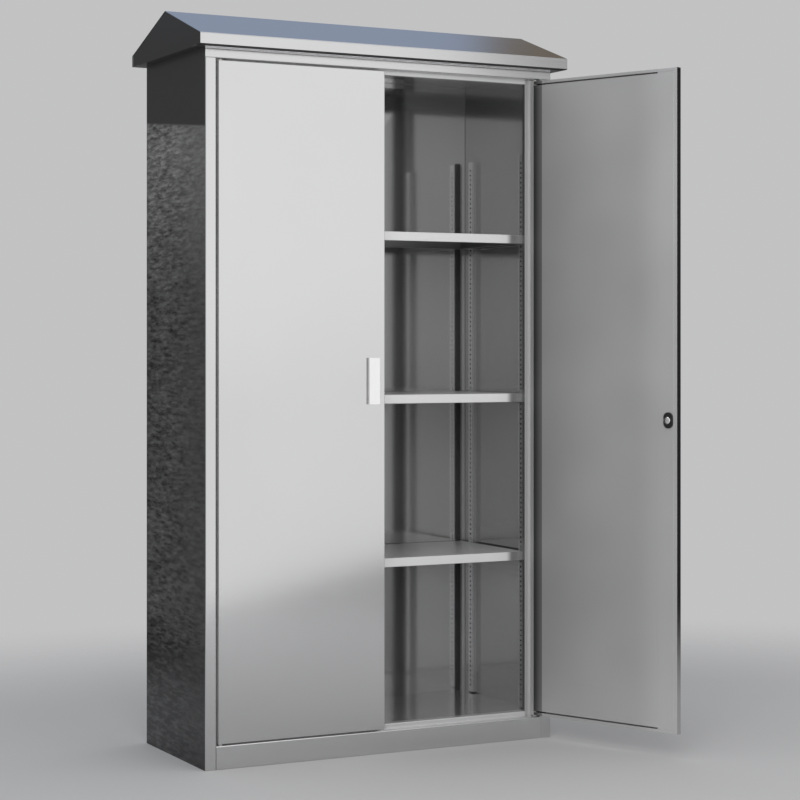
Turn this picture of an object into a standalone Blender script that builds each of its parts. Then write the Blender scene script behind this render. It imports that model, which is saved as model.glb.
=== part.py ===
"""Outdoor storage cabinet of folded sheet steel.

Metres, +Z up, the doors face -Y, and the origin is on the floor under the middle of the body.
The doors are modelled shut and hang from empties on their pivot axes. The right one then
stands open, with the lock turned back and every bolt drawn in.
"""

import math

import bmesh
import bpy
from mathutils import Matrix, Vector

# Overall size
WIDTH = 1.000
DEPTH = 0.420
BODY_HEIGHT = 1.800

# Sheet, folds and clearances
PANEL_SHEET = 0.0010
FRAME_SHEET = 0.0012
BEND_RADIUS = 0.0014
SEAT_GAP = 0.0003
RUNNING_GAP = 0.0004
OVERRUN = 0.0050
BEND_STEPS = 3
ROUND_SIDES = 24
SMOOTH_ANGLE = math.radians(40)

# Side panels
SIDE_THICKNESS = 0.0310
STILE_WIDTH = 0.0290
REBATE_DEPTH = 0.0230
JAMB_WIDTH = 0.0360
JAMB_HEM = 0.0150

# Header rail and plinth rail
HEADER_HEIGHT = 0.0255
HEADER_LIP = 0.0125
HEADER_TOP_RETURN = 0.0200
PLINTH_HEIGHT = 0.0588
PLINTH_LIP = 0.0132
PLINTH_FOOT = 0.0200
PLINTH_HEM = 0.0240

# Back, ceiling, floor and the members under it
BACK_MARGIN = 0.0030
BACK_LIFT = 0.0040
CEILING_FLANGE = 0.0140
RAIL_FLANGE = 0.0200
BRACE_WIDTH = 0.0400

# Roof
ROOF_SHEET = 0.0012
ROOF_FRONT_OVERHANG = 0.0400
ROOF_REAR_OVERHANG = 0.0300
ROOF_SIDE_OVERHANG = 0.0290
FASCIA_HEIGHT = 0.0287
RIDGE_RISE = 0.1147
SOFFIT_LAP = 0.0150
GABLE_GAP = 0.0005
GABLE_INSET = 0.0015

# Slotted uprights
UPRIGHT_STAND = 0.0130
UPRIGHT_WEB = 0.0275
UPRIGHT_LIFT = 0.0030
UPRIGHT_TOP = 1.5800
FRONT_UPRIGHT_SETBACK = 0.0685
REAR_UPRIGHT_INSET = 0.0420
SLOTS_PER_BAY = 16
SLOT_WIDTH = 0.0060
SLOT_HEIGHT = 0.0050
SLOT_END_MARGIN = 0.0150

# Shelves
SHELF_COUNT = 3
SHELF_BASE = 0.4990
SHELF_SPACING = 0.4295
SHELF_LIP = 0.0235
SHELF_HEM = 0.0120
SHELF_SETBACK = 0.0600
SHELF_REAR_GAP = 0.0090
SHELF_SIDE_GAP = 0.0030
SHELF_ROUND = 0.0010

# Shelf clips
CLIP_SHEET = 0.0012
CLIP_WIDTH = 0.0160
CLIP_TONGUE = 0.0046
CLIP_LEDGE = 0.0180
CLIP_RISE = 0.0100
CLIP_HOOK_GAP = 0.0008
CLIP_HOOK_DROP = 0.0050
CLIP_BEND_STEPS = 2

# Doors
DOOR_THICKNESS = 0.0180
DOOR_SHEET = 0.0010
DOOR_SIDE_GAP = 0.0063
DOOR_TOP_GAP = 0.0050
DOOR_BOTTOM_GAP = 0.0045
DOOR_CENTRE_GAP = 0.0025
DOOR_ROUND = 0.0010
DOOR_END_LIP = 0.0080
DOOR_EDGE_LIP = 0.0085
DOOR_HINGE_LIP = 0.0100
LINER_SLOT = 0.0040
LINER_FLANGE = 0.0120
EDGE_STILE_WIDTH = 0.0600
RIGHT_DOOR_OPENING = math.radians(113)

# Door pivots
PIVOT_INSET = 0.0080
PIN_RADIUS = 0.0030
PIN_REACH = 0.0110
COLLAR_RADIUS = 0.0060
BUSH_RADIUS = 0.0050
BUSH_REACH = 0.0100
BUSH_FLANGE_RADIUS = 0.0062
BUSH_FLANGE = 0.0015

# Pulls
PULL_INSET = 0.0186
PULL_WIDTH = 0.0300
PULL_RISE = 0.0110
PULL_FOOT = 0.0260
PULL_SHEET = 0.0018
PULL_ABOVE_LOCK = 0.0400
PULL_HEIGHT = 0.1200

# Bolts and rods
ROD_RADIUS = 0.0030
ROD_CHAMFER = 0.0006
ROD_SIDES = 16
ROD_TIP_INSET = 0.0010
STRIKE_CLEARANCE = 0.0012
GUIDE_WIDTH = 0.0120
GUIDE_DEPTH = 0.0140
GUIDE_HEIGHT = 0.0140
ROD_GUIDE_INSET = 0.0500
FLUSH_BOLT_INSET = 0.0300
FLUSH_BOLT_LENGTH = 0.1080
KNOB_WIDTH = 0.0050
KNOB_HEIGHT = 0.0080
KNOB_PROUD = 0.0060
KNOB_END_INSET = 0.0060

# Lock
LOCK_HEIGHT = 0.8660
LOCK_INSET = 0.0255
LOCK_TURN = math.radians(90)
CRANK_RADIUS = 0.0106
CRANK_PIN_RADIUS = 0.0018
YOKE_CLEARANCE = 0.0005
YOKE_WALL = 0.0012
YOKE_THICKNESS = 0.0030
DRIVER_RADIUS = 0.0130
DRIVER_THICKNESS = 0.0020
DRIVER_STANDOFF = 0.0040
HOUSING_RADIUS = 0.0150
HOUSING_FLANGE = 0.0035
HOUSING_CHAMFER = 0.0010
BARREL_RADIUS = 0.0095
BARREL_REACH = 0.0055
PLUG_RADIUS = 0.0060
PLUG_RECESS = 0.0008
SPINDLE_RADIUS = 0.0031
KEY_SLOT_WIDTH = 0.0016
KEY_SLOT_LENGTH = 0.0070
KEY_SLOT_DEPTH = 0.0040
COVER_WIDTH = 0.0270
COVER_HEIGHT = 0.0410
COVER_THICKNESS = 0.0040
SPINDLE_BORE_RADIUS = 0.0045
CAP_RADIUS = 0.0085
CAP_THICKNESS = 0.0036
CAP_CHAMFER = 0.0012

# Planes worked out from the sizes
HALF_WIDTH = WIDTH / 2
FRONT = -DEPTH / 2
BACK = DEPTH / 2
OUTER_SKIN = HALF_WIDTH - PANEL_SHEET
INNER_WALL = HALF_WIDTH - SIDE_THICKNESS
OPENING_HALF = HALF_WIDTH - STILE_WIDTH
JAMB_EDGE = OPENING_HALF - JAMB_WIDTH
REBATE_PLANE = FRONT + REBATE_DEPTH
JAMB_CLEAR = REBATE_PLANE - BEND_RADIUS
HEADER_BOTTOM = BODY_HEIGHT - HEADER_HEIGHT
PLINTH_LIP_TOP = PLINTH_HEIGHT + PLINTH_LIP
BACK_PANEL_FRONT = BACK - PANEL_SHEET
INSIDE_REAR = BACK_PANEL_FRONT - SEAT_GAP
FLOOR_TOP = PLINTH_LIP_TOP - FRAME_SHEET - SEAT_GAP
FLOOR_FRONT = REBATE_PLANE + JAMB_HEM + SEAT_GAP
UPRIGHT_FACE = INNER_WALL - UPRIGHT_STAND
SHELF_HALF = UPRIGHT_FACE - SHELF_SIDE_GAP
SLOT_PITCH = SHELF_SPACING / SLOTS_PER_BAY
DOOR_FREE = DOOR_CENTRE_GAP / 2
DOOR_HINGE = OPENING_HALF - DOOR_SIDE_GAP
DOOR_BOTTOM = PLINTH_HEIGHT + DOOR_BOTTOM_GAP
DOOR_TOP = HEADER_BOTTOM - DOOR_TOP_GAP
DOOR_INNER = FRONT + DOOR_THICKNESS
DOOR_MIDDLE = FRONT + DOOR_THICKNESS / 2
PIVOT_X = DOOR_HINGE - PIVOT_INSET
STILE_EDGE = DOOR_FREE + EDGE_STILE_WIDTH
LOCK_X = DOOR_FREE + LOCK_INSET
PULL_BOTTOM = LOCK_HEIGHT + PULL_ABOVE_LOCK
CRANK_SHARE = math.sin(LOCK_TURN / 2)
BOLT_STROKE = 2 * CRANK_RADIUS * CRANK_SHARE
YOKE_INNER = CRANK_RADIUS * math.cos(LOCK_TURN / 2) - CRANK_PIN_RADIUS - YOKE_CLEARANCE
YOKE_OUTER = CRANK_RADIUS + CRANK_PIN_RADIUS + YOKE_CLEARANCE
ROD_OFFSET = (YOKE_INNER + YOKE_OUTER) / 2
DRIVER_FRONT = DOOR_MIDDLE + DRIVER_STANDOFF
SIDES = {"left": -1, "right": 1}
AXES = {"x": (1, 2, 0), "y": (0, 2, 1), "z": (0, 1, 2)}


def clear_scene():
    for item in list(bpy.data.objects):
        bpy.data.objects.remove(item, do_unlink=True)


# Materials

def finish(name, colour, roughness, metallic):
    material = bpy.data.materials.get(name)
    if material is None:
        material = bpy.data.materials.new(name)
        material.use_nodes = True
        shader = material.node_tree.nodes["Principled BSDF"]
        shader.inputs["Base Color"].default_value = (*colour, 1)
        shader.inputs["Roughness"].default_value = roughness
        shader.inputs["Metallic"].default_value = metallic
    return material


def satin_steel():
    return finish("satin_steel", (0.50, 0.51, 0.52), 0.32, 1.0)


def upright_steel():
    return finish("upright_steel", (0.42, 0.43, 0.44), 0.38, 1.0)


def zinc_steel():
    return finish("zinc_steel", (0.56, 0.57, 0.58), 0.30, 1.0)


def pale_pull_finish():
    return finish("pale_pull_finish", (0.86, 0.87, 0.88), 0.35, 0.0)


def black_plastic():
    return finish("black_plastic", (0.02, 0.02, 0.022), 0.45, 0.0)


def nylon():
    return finish("nylon", (0.70, 0.69, 0.64), 0.50, 0.0)


def lock_chrome():
    return finish("lock_chrome", (0.72, 0.73, 0.75), 0.15, 1.0)


# Shapes

def at_axis(axis, u, v, along):
    """Point with outline coordinates u and v, at a distance along the axis."""
    point = [0, 0, 0]
    for index, value in zip(AXES[axis], (u, v, along)):
        point[index] = value
    return Vector(point)


def left_of(direction):
    return Vector((-direction.y, direction.x))


def fold_stations(path, sheet, steps=BEND_STEPS):
    """Pairs of points on the two faces of a folded sheet whose middle line is the path."""
    points = [Vector(point) for point in path]
    half = sheet / 2
    start = left_of((points[1] - points[0]).normalized()) * half
    end = left_of((points[-1] - points[-2]).normalized()) * half
    stations = [(points[0] + start, points[0] - start, 0)]
    for number, (before, corner, after) in enumerate(zip(points, points[1:], points[2:]), 1):
        into = (corner - before).normalized()
        out = (after - corner).normalized()
        turn = math.atan2(into.x * out.y - into.y * out.x, into.dot(out))
        side = math.copysign(1, turn)
        centre = corner - into * BEND_RADIUS * math.tan(abs(turn) / 2)
        centre += left_of(into) * BEND_RADIUS * side
        for step in range(steps + 1):
            spoke = Matrix.Rotation(turn * step / steps, 2) @ (left_of(into) * -side)
            left = centre + spoke * (BEND_RADIUS - side * half)
            right = centre + spoke * (BEND_RADIUS + side * half)
            stations.append((left, right, number))
    stations.append((points[-1] + end, points[-1] - end, len(points) - 1))
    return stations


def folded(path, sheet, spans, axis, steps=BEND_STEPS):
    """Folded sheet swept along an axis, between one (low, high) span for each path point."""
    shape = bmesh.new()
    rings = []
    for left, right, number in fold_stations(path, sheet, steps):
        low, high = spans[number]
        corners = ((left, low), (right, low), (right, high), (left, high))
        rings.append([shape.verts.new(at_axis(axis, *point, along)) for point, along in corners])
    shape.faces.new(rings[0])
    shape.faces.new(rings[-1])
    for ring, following in zip(rings, rings[1:]):
        for index in range(4):
            beside = (index + 1) % 4
            shape.faces.new((ring[index], ring[beside], following[beside], following[index]))
    return shape


def folded_even(path, sheet, low, high, axis):
    return folded(path, sheet, [(low, high)] * len(path), axis)


def prism(outline, low, high, axis):
    """Solid with a flat outline, swept along an axis."""
    shape = bmesh.new()
    ends = [[shape.verts.new(at_axis(axis, u, v, along)) for u, v in outline] for along in (low, high)]
    for end in ends:
        shape.faces.new(end)
    for index in range(len(outline)):
        beside = (index + 1) % len(outline)
        shape.faces.new((ends[0][index], ends[0][beside], ends[1][beside], ends[1][index]))
    return shape


def box(x_span, y_span, z_span):
    corners = [(x, y) for x, y in zip((x_span[0], x_span[1], x_span[1], x_span[0]),
                                      (y_span[0], y_span[0], y_span[1], y_span[1]))]
    return prism(corners, *z_span, "z")


def circle(radius, centre=(0, 0), sides=ROUND_SIDES):
    turns = [2 * math.pi * step / sides for step in range(sides)]
    return [(centre[0] + radius * math.cos(turn), centre[1] + radius * math.sin(turn)) for turn in turns]


def rod_shape(radius, low, high, centre, axis="z", sides=ROUND_SIDES):
    return prism(circle(radius, centre, sides), low, high, axis)


def turned(profile, sides=ROUND_SIDES):
    """Solid turned about +Z from (radius, height) points; a profile off the axis makes a ring."""
    shape = bmesh.new()
    rings = []
    for radius, height in profile:
        if radius == 0:
            rings.append([shape.verts.new((0, 0, height))] * sides)
        else:
            rings.append([shape.verts.new((u, v, height)) for u, v in circle(radius, sides=sides)])
    pairs = list(zip(rings, rings[1:]))
    if profile[0][0] > 0:
        pairs.append((rings[-1], rings[0]))
    for ring, following in pairs:
        for index in range(sides):
            beside = (index + 1) % sides
            corners = (ring[index], ring[beside], following[beside], following[index])
            shape.faces.new(list(dict.fromkeys(corners)))
    return shape


def moved(shape, matrix):
    shape.transform(matrix)
    return shape


def facing_front(x, y, z):
    """Carries a shape turned about +Z to a point, with its +Z towards the front."""
    return Matrix.Translation((x, y, z)) @ Matrix.Rotation(math.pi / 2, 4, "X")


def merged(*shapes):
    together = bmesh.new()
    for shape in shapes:
        carrier = bpy.data.meshes.new("carrier")
        shape.to_mesh(carrier)
        shape.free()
        together.from_mesh(carrier)
        bpy.data.meshes.remove(carrier)
    return together


# Objects

def mesh_object(name, shape):
    mesh = bpy.data.meshes.new(name)
    bmesh.ops.recalc_face_normals(shape, faces=shape.faces)
    shape.to_mesh(mesh)
    shape.free()
    item = bpy.data.objects.new(name, mesh)
    bpy.context.scene.collection.objects.link(item)
    return item


def hang(item, axis):
    """Makes an item swing with an empty, keeping its place in the shut cabinet."""
    if axis is not None:
        item.parent = axis
        item.matrix_parent_inverse = Matrix.Translation(axis["shut_at"]).inverted()


def solid(name, shape, material, axis=None, is_round=False):
    item = mesh_object(name, shape)
    item.data.materials.append(material)
    if is_round:
        item.data.shade_smooth()
        item.data.set_sharp_from_angle(angle=SMOOTH_ANGLE)
    hang(item, axis)
    return item


def combine(item, what, shape, operation):
    tool = mesh_object(f"{item.name}_{what}", shape)
    tool.hide_render = True
    tool.display_type = "WIRE"
    tool.parent = item.parent
    tool.matrix_parent_inverse = item.matrix_parent_inverse
    modifier = item.modifiers.new(what, "BOOLEAN")
    modifier.operation = operation
    modifier.object = tool


def cut(item, what, shape):
    combine(item, what, shape, "DIFFERENCE")


def unite(item, what, shape):
    combine(item, what, shape, "UNION")


def soften(item, radius):
    modifier = item.modifiers.new("softened_edges", "BEVEL")
    modifier.width = radius
    modifier.segments = 2
    modifier.limit_method = "ANGLE"


def ordered(a, b):
    return (a, b) if a < b else (b, a)


def joint_empty(name, place, parent=None):
    """Empty on a joint's axis, which remembers where that axis stands in the shut cabinet."""
    axis = bpy.data.objects.new(name, None)
    axis["shut_at"] = place
    bpy.context.scene.collection.objects.link(axis)
    hang(axis, parent)
    axis.location = place
    return axis


# Carcass

def side_panel(side_name):
    """Hollow side folded from one sheet: inner wall, rear edge, outer wall, stile, rebate and jamb."""
    side = SIDES[side_name]
    half = PANEL_SHEET / 2
    jamb_plane = REBATE_PLANE + half
    rear_plane = INSIDE_REAR - half
    path = [
        (INNER_WALL + half, jamb_plane + half + SEAT_GAP),
        (INNER_WALL + half, rear_plane),
        (HALF_WIDTH - half, rear_plane),
        (HALF_WIDTH - half, FRONT + half),
        (OPENING_HALF + half, FRONT + half),
        (OPENING_HALF + half, jamb_plane),
        (JAMB_EDGE + half, jamb_plane),
        (JAMB_EDGE + half, REBATE_PLANE + JAMB_HEM),
    ]
    path = [(side * x, y) for x, y in path]
    panel = solid(f"{side_name}_side_panel", folded_even(path, PANEL_SHEET, 0, BODY_HEIGHT, "z"),
                  satin_steel())
    behind_header = FRONT + FRAME_SHEET + SEAT_GAP
    behind_jamb = REBATE_PLANE + PANEL_SHEET + SEAT_GAP / 2
    behind_hem = REBATE_PLANE + JAMB_HEM + OVERRUN
    notch = [
        (JAMB_EDGE - OVERRUN, FRONT - OVERRUN),
        (HALF_WIDTH + OVERRUN, FRONT - OVERRUN),
        (HALF_WIDTH + OVERRUN, behind_header),
        (OUTER_SKIN - SEAT_GAP, behind_header),
        (OUTER_SKIN - SEAT_GAP, behind_jamb),
        (INNER_WALL - SEAT_GAP, behind_jamb),
        (INNER_WALL - SEAT_GAP, behind_hem),
        (JAMB_EDGE - OVERRUN, behind_hem),
    ]
    notch = [(side * x, y) for x, y in notch]
    cut(panel, "header_notch", prism(notch, HEADER_BOTTOM - SEAT_GAP, BODY_HEIGHT + OVERRUN, "z"))


def both_ends(near, y_span, z_span):
    """Two boxes that reach from a distance off the middle past both sides of the body."""
    far = HALF_WIDTH + OVERRUN
    return merged(box((near, far), y_span, z_span), box((-far, -near), y_span, z_span))


def strike_bores(low, high, right_rod_x):
    """Bores that the right lock rod and the left flush bolt shoot into."""
    radius = ROD_RADIUS + STRIKE_CLEARANCE
    places = (right_rod_x, -DOOR_FREE - FLUSH_BOLT_INSET)
    return merged(*[rod_shape(radius, low, high, (x, DOOR_MIDDLE)) for x in places])


def header_rail():
    """Front rail above the doors, with the rebate that their tops close against."""
    half = FRAME_SHEET / 2
    lip_bottom = HEADER_BOTTOM - HEADER_LIP
    path = [
        (FRONT + HEADER_TOP_RETURN, BODY_HEIGHT - half),
        (FRONT + half, BODY_HEIGHT - half),
        (FRONT + half, HEADER_BOTTOM + half),
        (REBATE_PLANE + half, HEADER_BOTTOM + half),
        (REBATE_PLANE + half, lip_bottom + half),
        (REBATE_PLANE + JAMB_HEM, lip_bottom + half),
    ]
    rail = solid("header_rail", folded_even(path, FRAME_SHEET, -HALF_WIDTH, HALF_WIDTH, "x"), satin_steel())
    behind = REBATE_PLANE + JAMB_HEM + OVERRUN
    levels = (lip_bottom - OVERRUN, BODY_HEIGHT + OVERRUN)
    cut(rail, "wall_notches",
        both_ends(OUTER_SKIN - SEAT_GAP, (FRONT + FRAME_SHEET + SEAT_GAP, behind), levels))
    cut(rail, "lip_notches", both_ends(JAMB_EDGE - SEAT_GAP, (JAMB_CLEAR, behind), levels))
    cut(rail, "strikes",
        strike_bores(HEADER_BOTTOM - OVERRUN, HEADER_BOTTOM + OVERRUN, LOCK_X + ROD_OFFSET))


def plinth_rail():
    """Front rail under the doors, with a rebate lip in front of the floor panel."""
    half = FRAME_SHEET / 2
    path = [
        (FRONT + PLINTH_FOOT, half),
        (FRONT + half, half),
        (FRONT + half, PLINTH_HEIGHT - half),
        (REBATE_PLANE + half, PLINTH_HEIGHT - half),
        (REBATE_PLANE + half, PLINTH_LIP_TOP - half),
        (REBATE_PLANE + PLINTH_HEM, PLINTH_LIP_TOP - half),
    ]
    reach = OPENING_HALF - SEAT_GAP
    rail = solid("plinth_rail", folded_even(path, FRAME_SHEET, -reach, reach, "x"), satin_steel())
    behind = REBATE_PLANE + PLINTH_HEM + OVERRUN
    cut(rail, "jamb_notches",
        both_ends(JAMB_EDGE - SEAT_GAP, (JAMB_CLEAR, behind), (-OVERRUN, PLINTH_LIP_TOP + OVERRUN)))
    cut(rail, "strikes",
        strike_bores(PLINTH_HEIGHT - OVERRUN, PLINTH_HEIGHT + OVERRUN, LOCK_X - ROD_OFFSET))


def back_panel():
    half_width = HALF_WIDTH - BACK_MARGIN
    shape = box((-half_width, half_width), (BACK_PANEL_FRONT, BACK), (BACK_LIFT, BODY_HEIGHT))
    solid("back_panel", shape, satin_steel())


def top_panel():
    """Ceiling sheet under the header's top return, turned down along the back."""
    half = PANEL_SHEET / 2
    level = BODY_HEIGHT - FRAME_SHEET - SEAT_GAP - half
    rear = INSIDE_REAR - half
    path = [(FRONT + FRAME_SHEET + BEND_RADIUS, level), (rear, level), (rear, level - CEILING_FLANGE)]
    reach = INNER_WALL - SEAT_GAP
    solid("top_panel", folded_even(path, PANEL_SHEET, -reach, reach, "x"), satin_steel())


def floor_panel():
    """Floor sheet, turned down in front and behind to stand on the rear rail."""
    half = PANEL_SHEET / 2
    level = FLOOR_TOP - half
    front, rear = FLOOR_FRONT + half, INSIDE_REAR - half
    foot = PLINTH_HEIGHT + SEAT_GAP
    path = [(front, foot), (front, level), (rear, level), (rear, foot)]
    reach = INNER_WALL - SEAT_GAP
    solid("floor_panel", folded_even(path, PANEL_SHEET, -reach, reach, "x"), satin_steel())


def rear_base_rail():
    half = FRAME_SHEET / 2
    rear = INSIDE_REAR - half
    inner = INSIDE_REAR - RAIL_FLANGE
    path = [(inner, half), (rear, half), (rear, PLINTH_HEIGHT - half), (inner, PLINTH_HEIGHT - half)]
    reach = INNER_WALL - SEAT_GAP
    solid("rear_base_rail", folded_even(path, FRAME_SHEET, -reach, reach, "x"), upright_steel())


def base_brace():
    """Channel under the middle of the floor, flat on the ground."""
    half = FRAME_SHEET / 2
    side = BRACE_WIDTH / 2 - half
    top = FLOOR_TOP - PANEL_SHEET - SEAT_GAP
    path = [(-side, top), (-side, half), (side, half), (side, top)]
    front = FLOOR_FRONT + PANEL_SHEET + SEAT_GAP
    rear = INSIDE_REAR - RAIL_FLANGE - SEAT_GAP
    solid("base_brace", folded_even(path, FRAME_SHEET, front, rear, "y"), upright_steel())


# Roof

ROOF_BASE = BODY_HEIGHT + SEAT_GAP
ROOF_HALF = HALF_WIDTH + ROOF_SIDE_OVERHANG
ROOF_FRONT = FRONT - ROOF_FRONT_OVERHANG
ROOF_REAR = BACK + ROOF_REAR_OVERHANG
ROOF_MIDDLE = (ROOF_FRONT + ROOF_REAR) / 2


def roof_cover():
    """Gable roof with fasciae and the soffit returns that rest on the body."""
    half = ROOF_SHEET / 2
    base = ROOF_BASE + half
    path = [
        (FRONT + SOFFIT_LAP, base),
        (ROOF_FRONT + half, base),
        (ROOF_FRONT + half, ROOF_BASE + FASCIA_HEIGHT),
        (ROOF_MIDDLE, ROOF_BASE + RIDGE_RISE),
        (ROOF_REAR - half, ROOF_BASE + FASCIA_HEIGHT),
        (ROOF_REAR - half, base),
        (BACK - SOFFIT_LAP, base),
    ]
    solid("roof_cover", folded_even(path, ROOF_SHEET, -ROOF_HALF, ROOF_HALF, "x"), satin_steel())


def roof_gable(side_name):
    """End panel just inside the roof sheet, with the soffit return of its own side."""
    side = SIDES[side_name]
    half_run = (ROOF_REAR - ROOF_FRONT - ROOF_SHEET) / 2
    rise = RIDGE_RISE - FASCIA_HEIGHT
    slope_drop = (ROOF_SHEET / 2 + GABLE_GAP) * math.hypot(half_run, rise) / half_run
    edge = ROOF_SHEET + GABLE_GAP
    shoulder = ROOF_BASE + FASCIA_HEIGHT - slope_drop + (edge - ROOF_SHEET / 2) * rise / half_run
    soffit_front = FRONT + SOFFIT_LAP + GABLE_GAP
    soffit_rear = BACK - SOFFIT_LAP - GABLE_GAP
    outline = [
        (ROOF_FRONT + edge, ROOF_BASE + edge),
        (ROOF_FRONT + edge, shoulder),
        (ROOF_MIDDLE, ROOF_BASE + RIDGE_RISE - slope_drop),
        (ROOF_REAR - edge, shoulder),
        (ROOF_REAR - edge, ROOF_BASE + edge),
        (soffit_rear, ROOF_BASE + edge),
        (soffit_rear, ROOF_BASE),
        (soffit_front, ROOF_BASE),
        (soffit_front, ROOF_BASE + edge),
    ]
    outer = ROOF_HALF - GABLE_INSET
    span = ordered(side * (outer - ROOF_SHEET), side * outer)
    gable = solid(f"{side_name}_roof_gable", prism(outline, *span, "x"), satin_steel())
    soffit_span = ordered(side * (HALF_WIDTH - SOFFIT_LAP), side * (outer - ROOF_SHEET / 2))
    unite(gable, "soffit",
          box(soffit_span, (soffit_front, soffit_rear), (ROOF_BASE, ROOF_BASE + ROOF_SHEET)))


# Uprights and shelves

def upright_span(place):
    """Front and rear edge of an upright's slotted web."""
    if place == "front":
        front = FRONT + FRONT_UPRIGHT_SETBACK
    else:
        front = BACK - REAR_UPRIGHT_INSET - UPRIGHT_WEB
    return front, front + UPRIGHT_WEB


def shelf_levels():
    return [SHELF_BASE + number * SHELF_SPACING for number in range(SHELF_COUNT)]


def slot_levels():
    """Heights of the slots, on a pitch that puts one at every clip's tongue."""
    low = FLOOR_TOP + SLOT_END_MARGIN
    high = UPRIGHT_TOP - SLOT_END_MARGIN
    first = SHELF_BASE + CLIP_RISE
    lowest = math.ceil((low - first) / SLOT_PITCH)
    highest = math.floor((high - first) / SLOT_PITCH)
    return [first + step * SLOT_PITCH for step in range(lowest, highest + 1)]


def upright(place, side_name):
    """Slotted channel whose two legs stand on the inner wall."""
    side = SIDES[side_name]
    half = FRAME_SHEET / 2
    front, rear = upright_span(place)
    web, wall = UPRIGHT_FACE + half, INNER_WALL - SEAT_GAP
    path = [(wall, front + half), (web, front + half), (web, rear - half), (wall, rear - half)]
    path = [(side * x, y) for x, y in path]
    shape = folded_even(path, FRAME_SHEET, FLOOR_TOP + UPRIGHT_LIFT, UPRIGHT_TOP, "z")
    post = solid(f"{place}_{side_name}_upright", shape, upright_steel())
    middle = (front + rear) / 2
    x_span = ordered(side * (UPRIGHT_FACE - OVERRUN), side * (UPRIGHT_FACE + OVERRUN))
    y_span = (middle - SLOT_WIDTH / 2, middle + SLOT_WIDTH / 2)
    slots = [box(x_span, y_span, (level - SLOT_HEIGHT / 2, level + SLOT_HEIGHT / 2))
             for level in slot_levels()]
    cut(post, "slots", merged(*slots))


def shelf_clip(name, place, side_name, shelf_top):
    """Clip that hooks into a slot and carries one corner of a shelf on its ledge."""
    side = SIDES[side_name]
    plate = UPRIGHT_FACE - SEAT_GAP - CLIP_SHEET / 2
    ledge = shelf_top - SHELF_LIP - SEAT_GAP - CLIP_SHEET / 2
    tongue = shelf_top + CLIP_RISE
    hook = UPRIGHT_FACE + FRAME_SHEET + CLIP_HOOK_GAP + CLIP_SHEET / 2
    path = [(SHELF_HALF - CLIP_LEDGE, ledge), (plate, ledge), (plate, tongue), (hook, tongue),
            (hook, tongue - CLIP_HOOK_DROP)]
    path = [(side * x, z) for x, z in path]
    middle = sum(upright_span(place)) / 2
    wide = (middle - CLIP_WIDTH / 2, middle + CLIP_WIDTH / 2)
    narrow = (middle - CLIP_TONGUE / 2, middle + CLIP_TONGUE / 2)
    shape = folded(path, CLIP_SHEET, [wide, wide, narrow, narrow, narrow], "y", CLIP_BEND_STEPS)
    solid(name, shape, zinc_steel())


def shelf(name, top):
    """Pan with a lip on every side and a hem turned in under each lip."""
    bottom = top - SHELF_LIP
    front = FRONT + SHELF_SETBACK
    rear = BACK_PANEL_FRONT - SHELF_REAR_GAP
    pan = solid(name, box((-SHELF_HALF, SHELF_HALF), (front, rear), (bottom, top)), satin_steel())
    soften(pan, SHELF_ROUND)
    inside = SHELF_HALF - PANEL_SHEET
    cut(pan, "hollow", box((-inside, inside), (front + PANEL_SHEET, rear - PANEL_SHEET),
                           (bottom + PANEL_SHEET, top - PANEL_SHEET)))
    clear = SHELF_HALF - SHELF_HEM
    cut(pan, "mouth", box((-clear, clear), (front + SHELF_HEM, rear - SHELF_HEM),
                          (bottom - OVERRUN, bottom + PANEL_SHEET * 2)))


# Door pivots

def pivot_pin(side_name, end):
    """Pin fixed in the rail; the lower one has a collar that carries the door."""
    side = SIDES[side_name]
    if end == "top":
        profile = [(0, DOOR_TOP - PIN_REACH), (PIN_RADIUS, DOOR_TOP - PIN_REACH),
                   (PIN_RADIUS, HEADER_BOTTOM - SEAT_GAP), (0, HEADER_BOTTOM - SEAT_GAP)]
    else:
        collar_top = DOOR_BOTTOM - SEAT_GAP - BUSH_FLANGE - SEAT_GAP
        profile = [(0, PLINTH_HEIGHT + SEAT_GAP), (COLLAR_RADIUS, PLINTH_HEIGHT + SEAT_GAP),
                   (COLLAR_RADIUS, collar_top), (PIN_RADIUS, collar_top),
                   (PIN_RADIUS, DOOR_BOTTOM + PIN_REACH), (0, DOOR_BOTTOM + PIN_REACH)]
    shape = moved(turned(profile), Matrix.Translation((side * PIVOT_X, DOOR_MIDDLE, 0)))
    solid(f"{side_name}_{end}_pivot_pin", shape, zinc_steel(), is_round=True)


def pivot_bush(side_name, end, axis):
    """Flanged bush in the end of a door, running on the pin."""
    side = SIDES[side_name]
    bore = PIN_RADIUS + RUNNING_GAP
    edge, outward = (DOOR_TOP, 1) if end == "top" else (DOOR_BOTTOM, -1)
    inner_end = edge - outward * BUSH_REACH
    flange_inner = edge + outward * SEAT_GAP
    flange_outer = flange_inner + outward * BUSH_FLANGE
    profile = [(bore, inner_end), (BUSH_RADIUS, inner_end), (BUSH_RADIUS, flange_inner),
               (BUSH_FLANGE_RADIUS, flange_inner), (BUSH_FLANGE_RADIUS, flange_outer), (bore, flange_outer)]
    shape = moved(turned(profile), Matrix.Translation((side * PIVOT_X, DOOR_MIDDLE, 0)))
    solid(f"{side_name}_{end}_pivot_bush", shape, nylon(), axis, is_round=True)


# Doors

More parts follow.
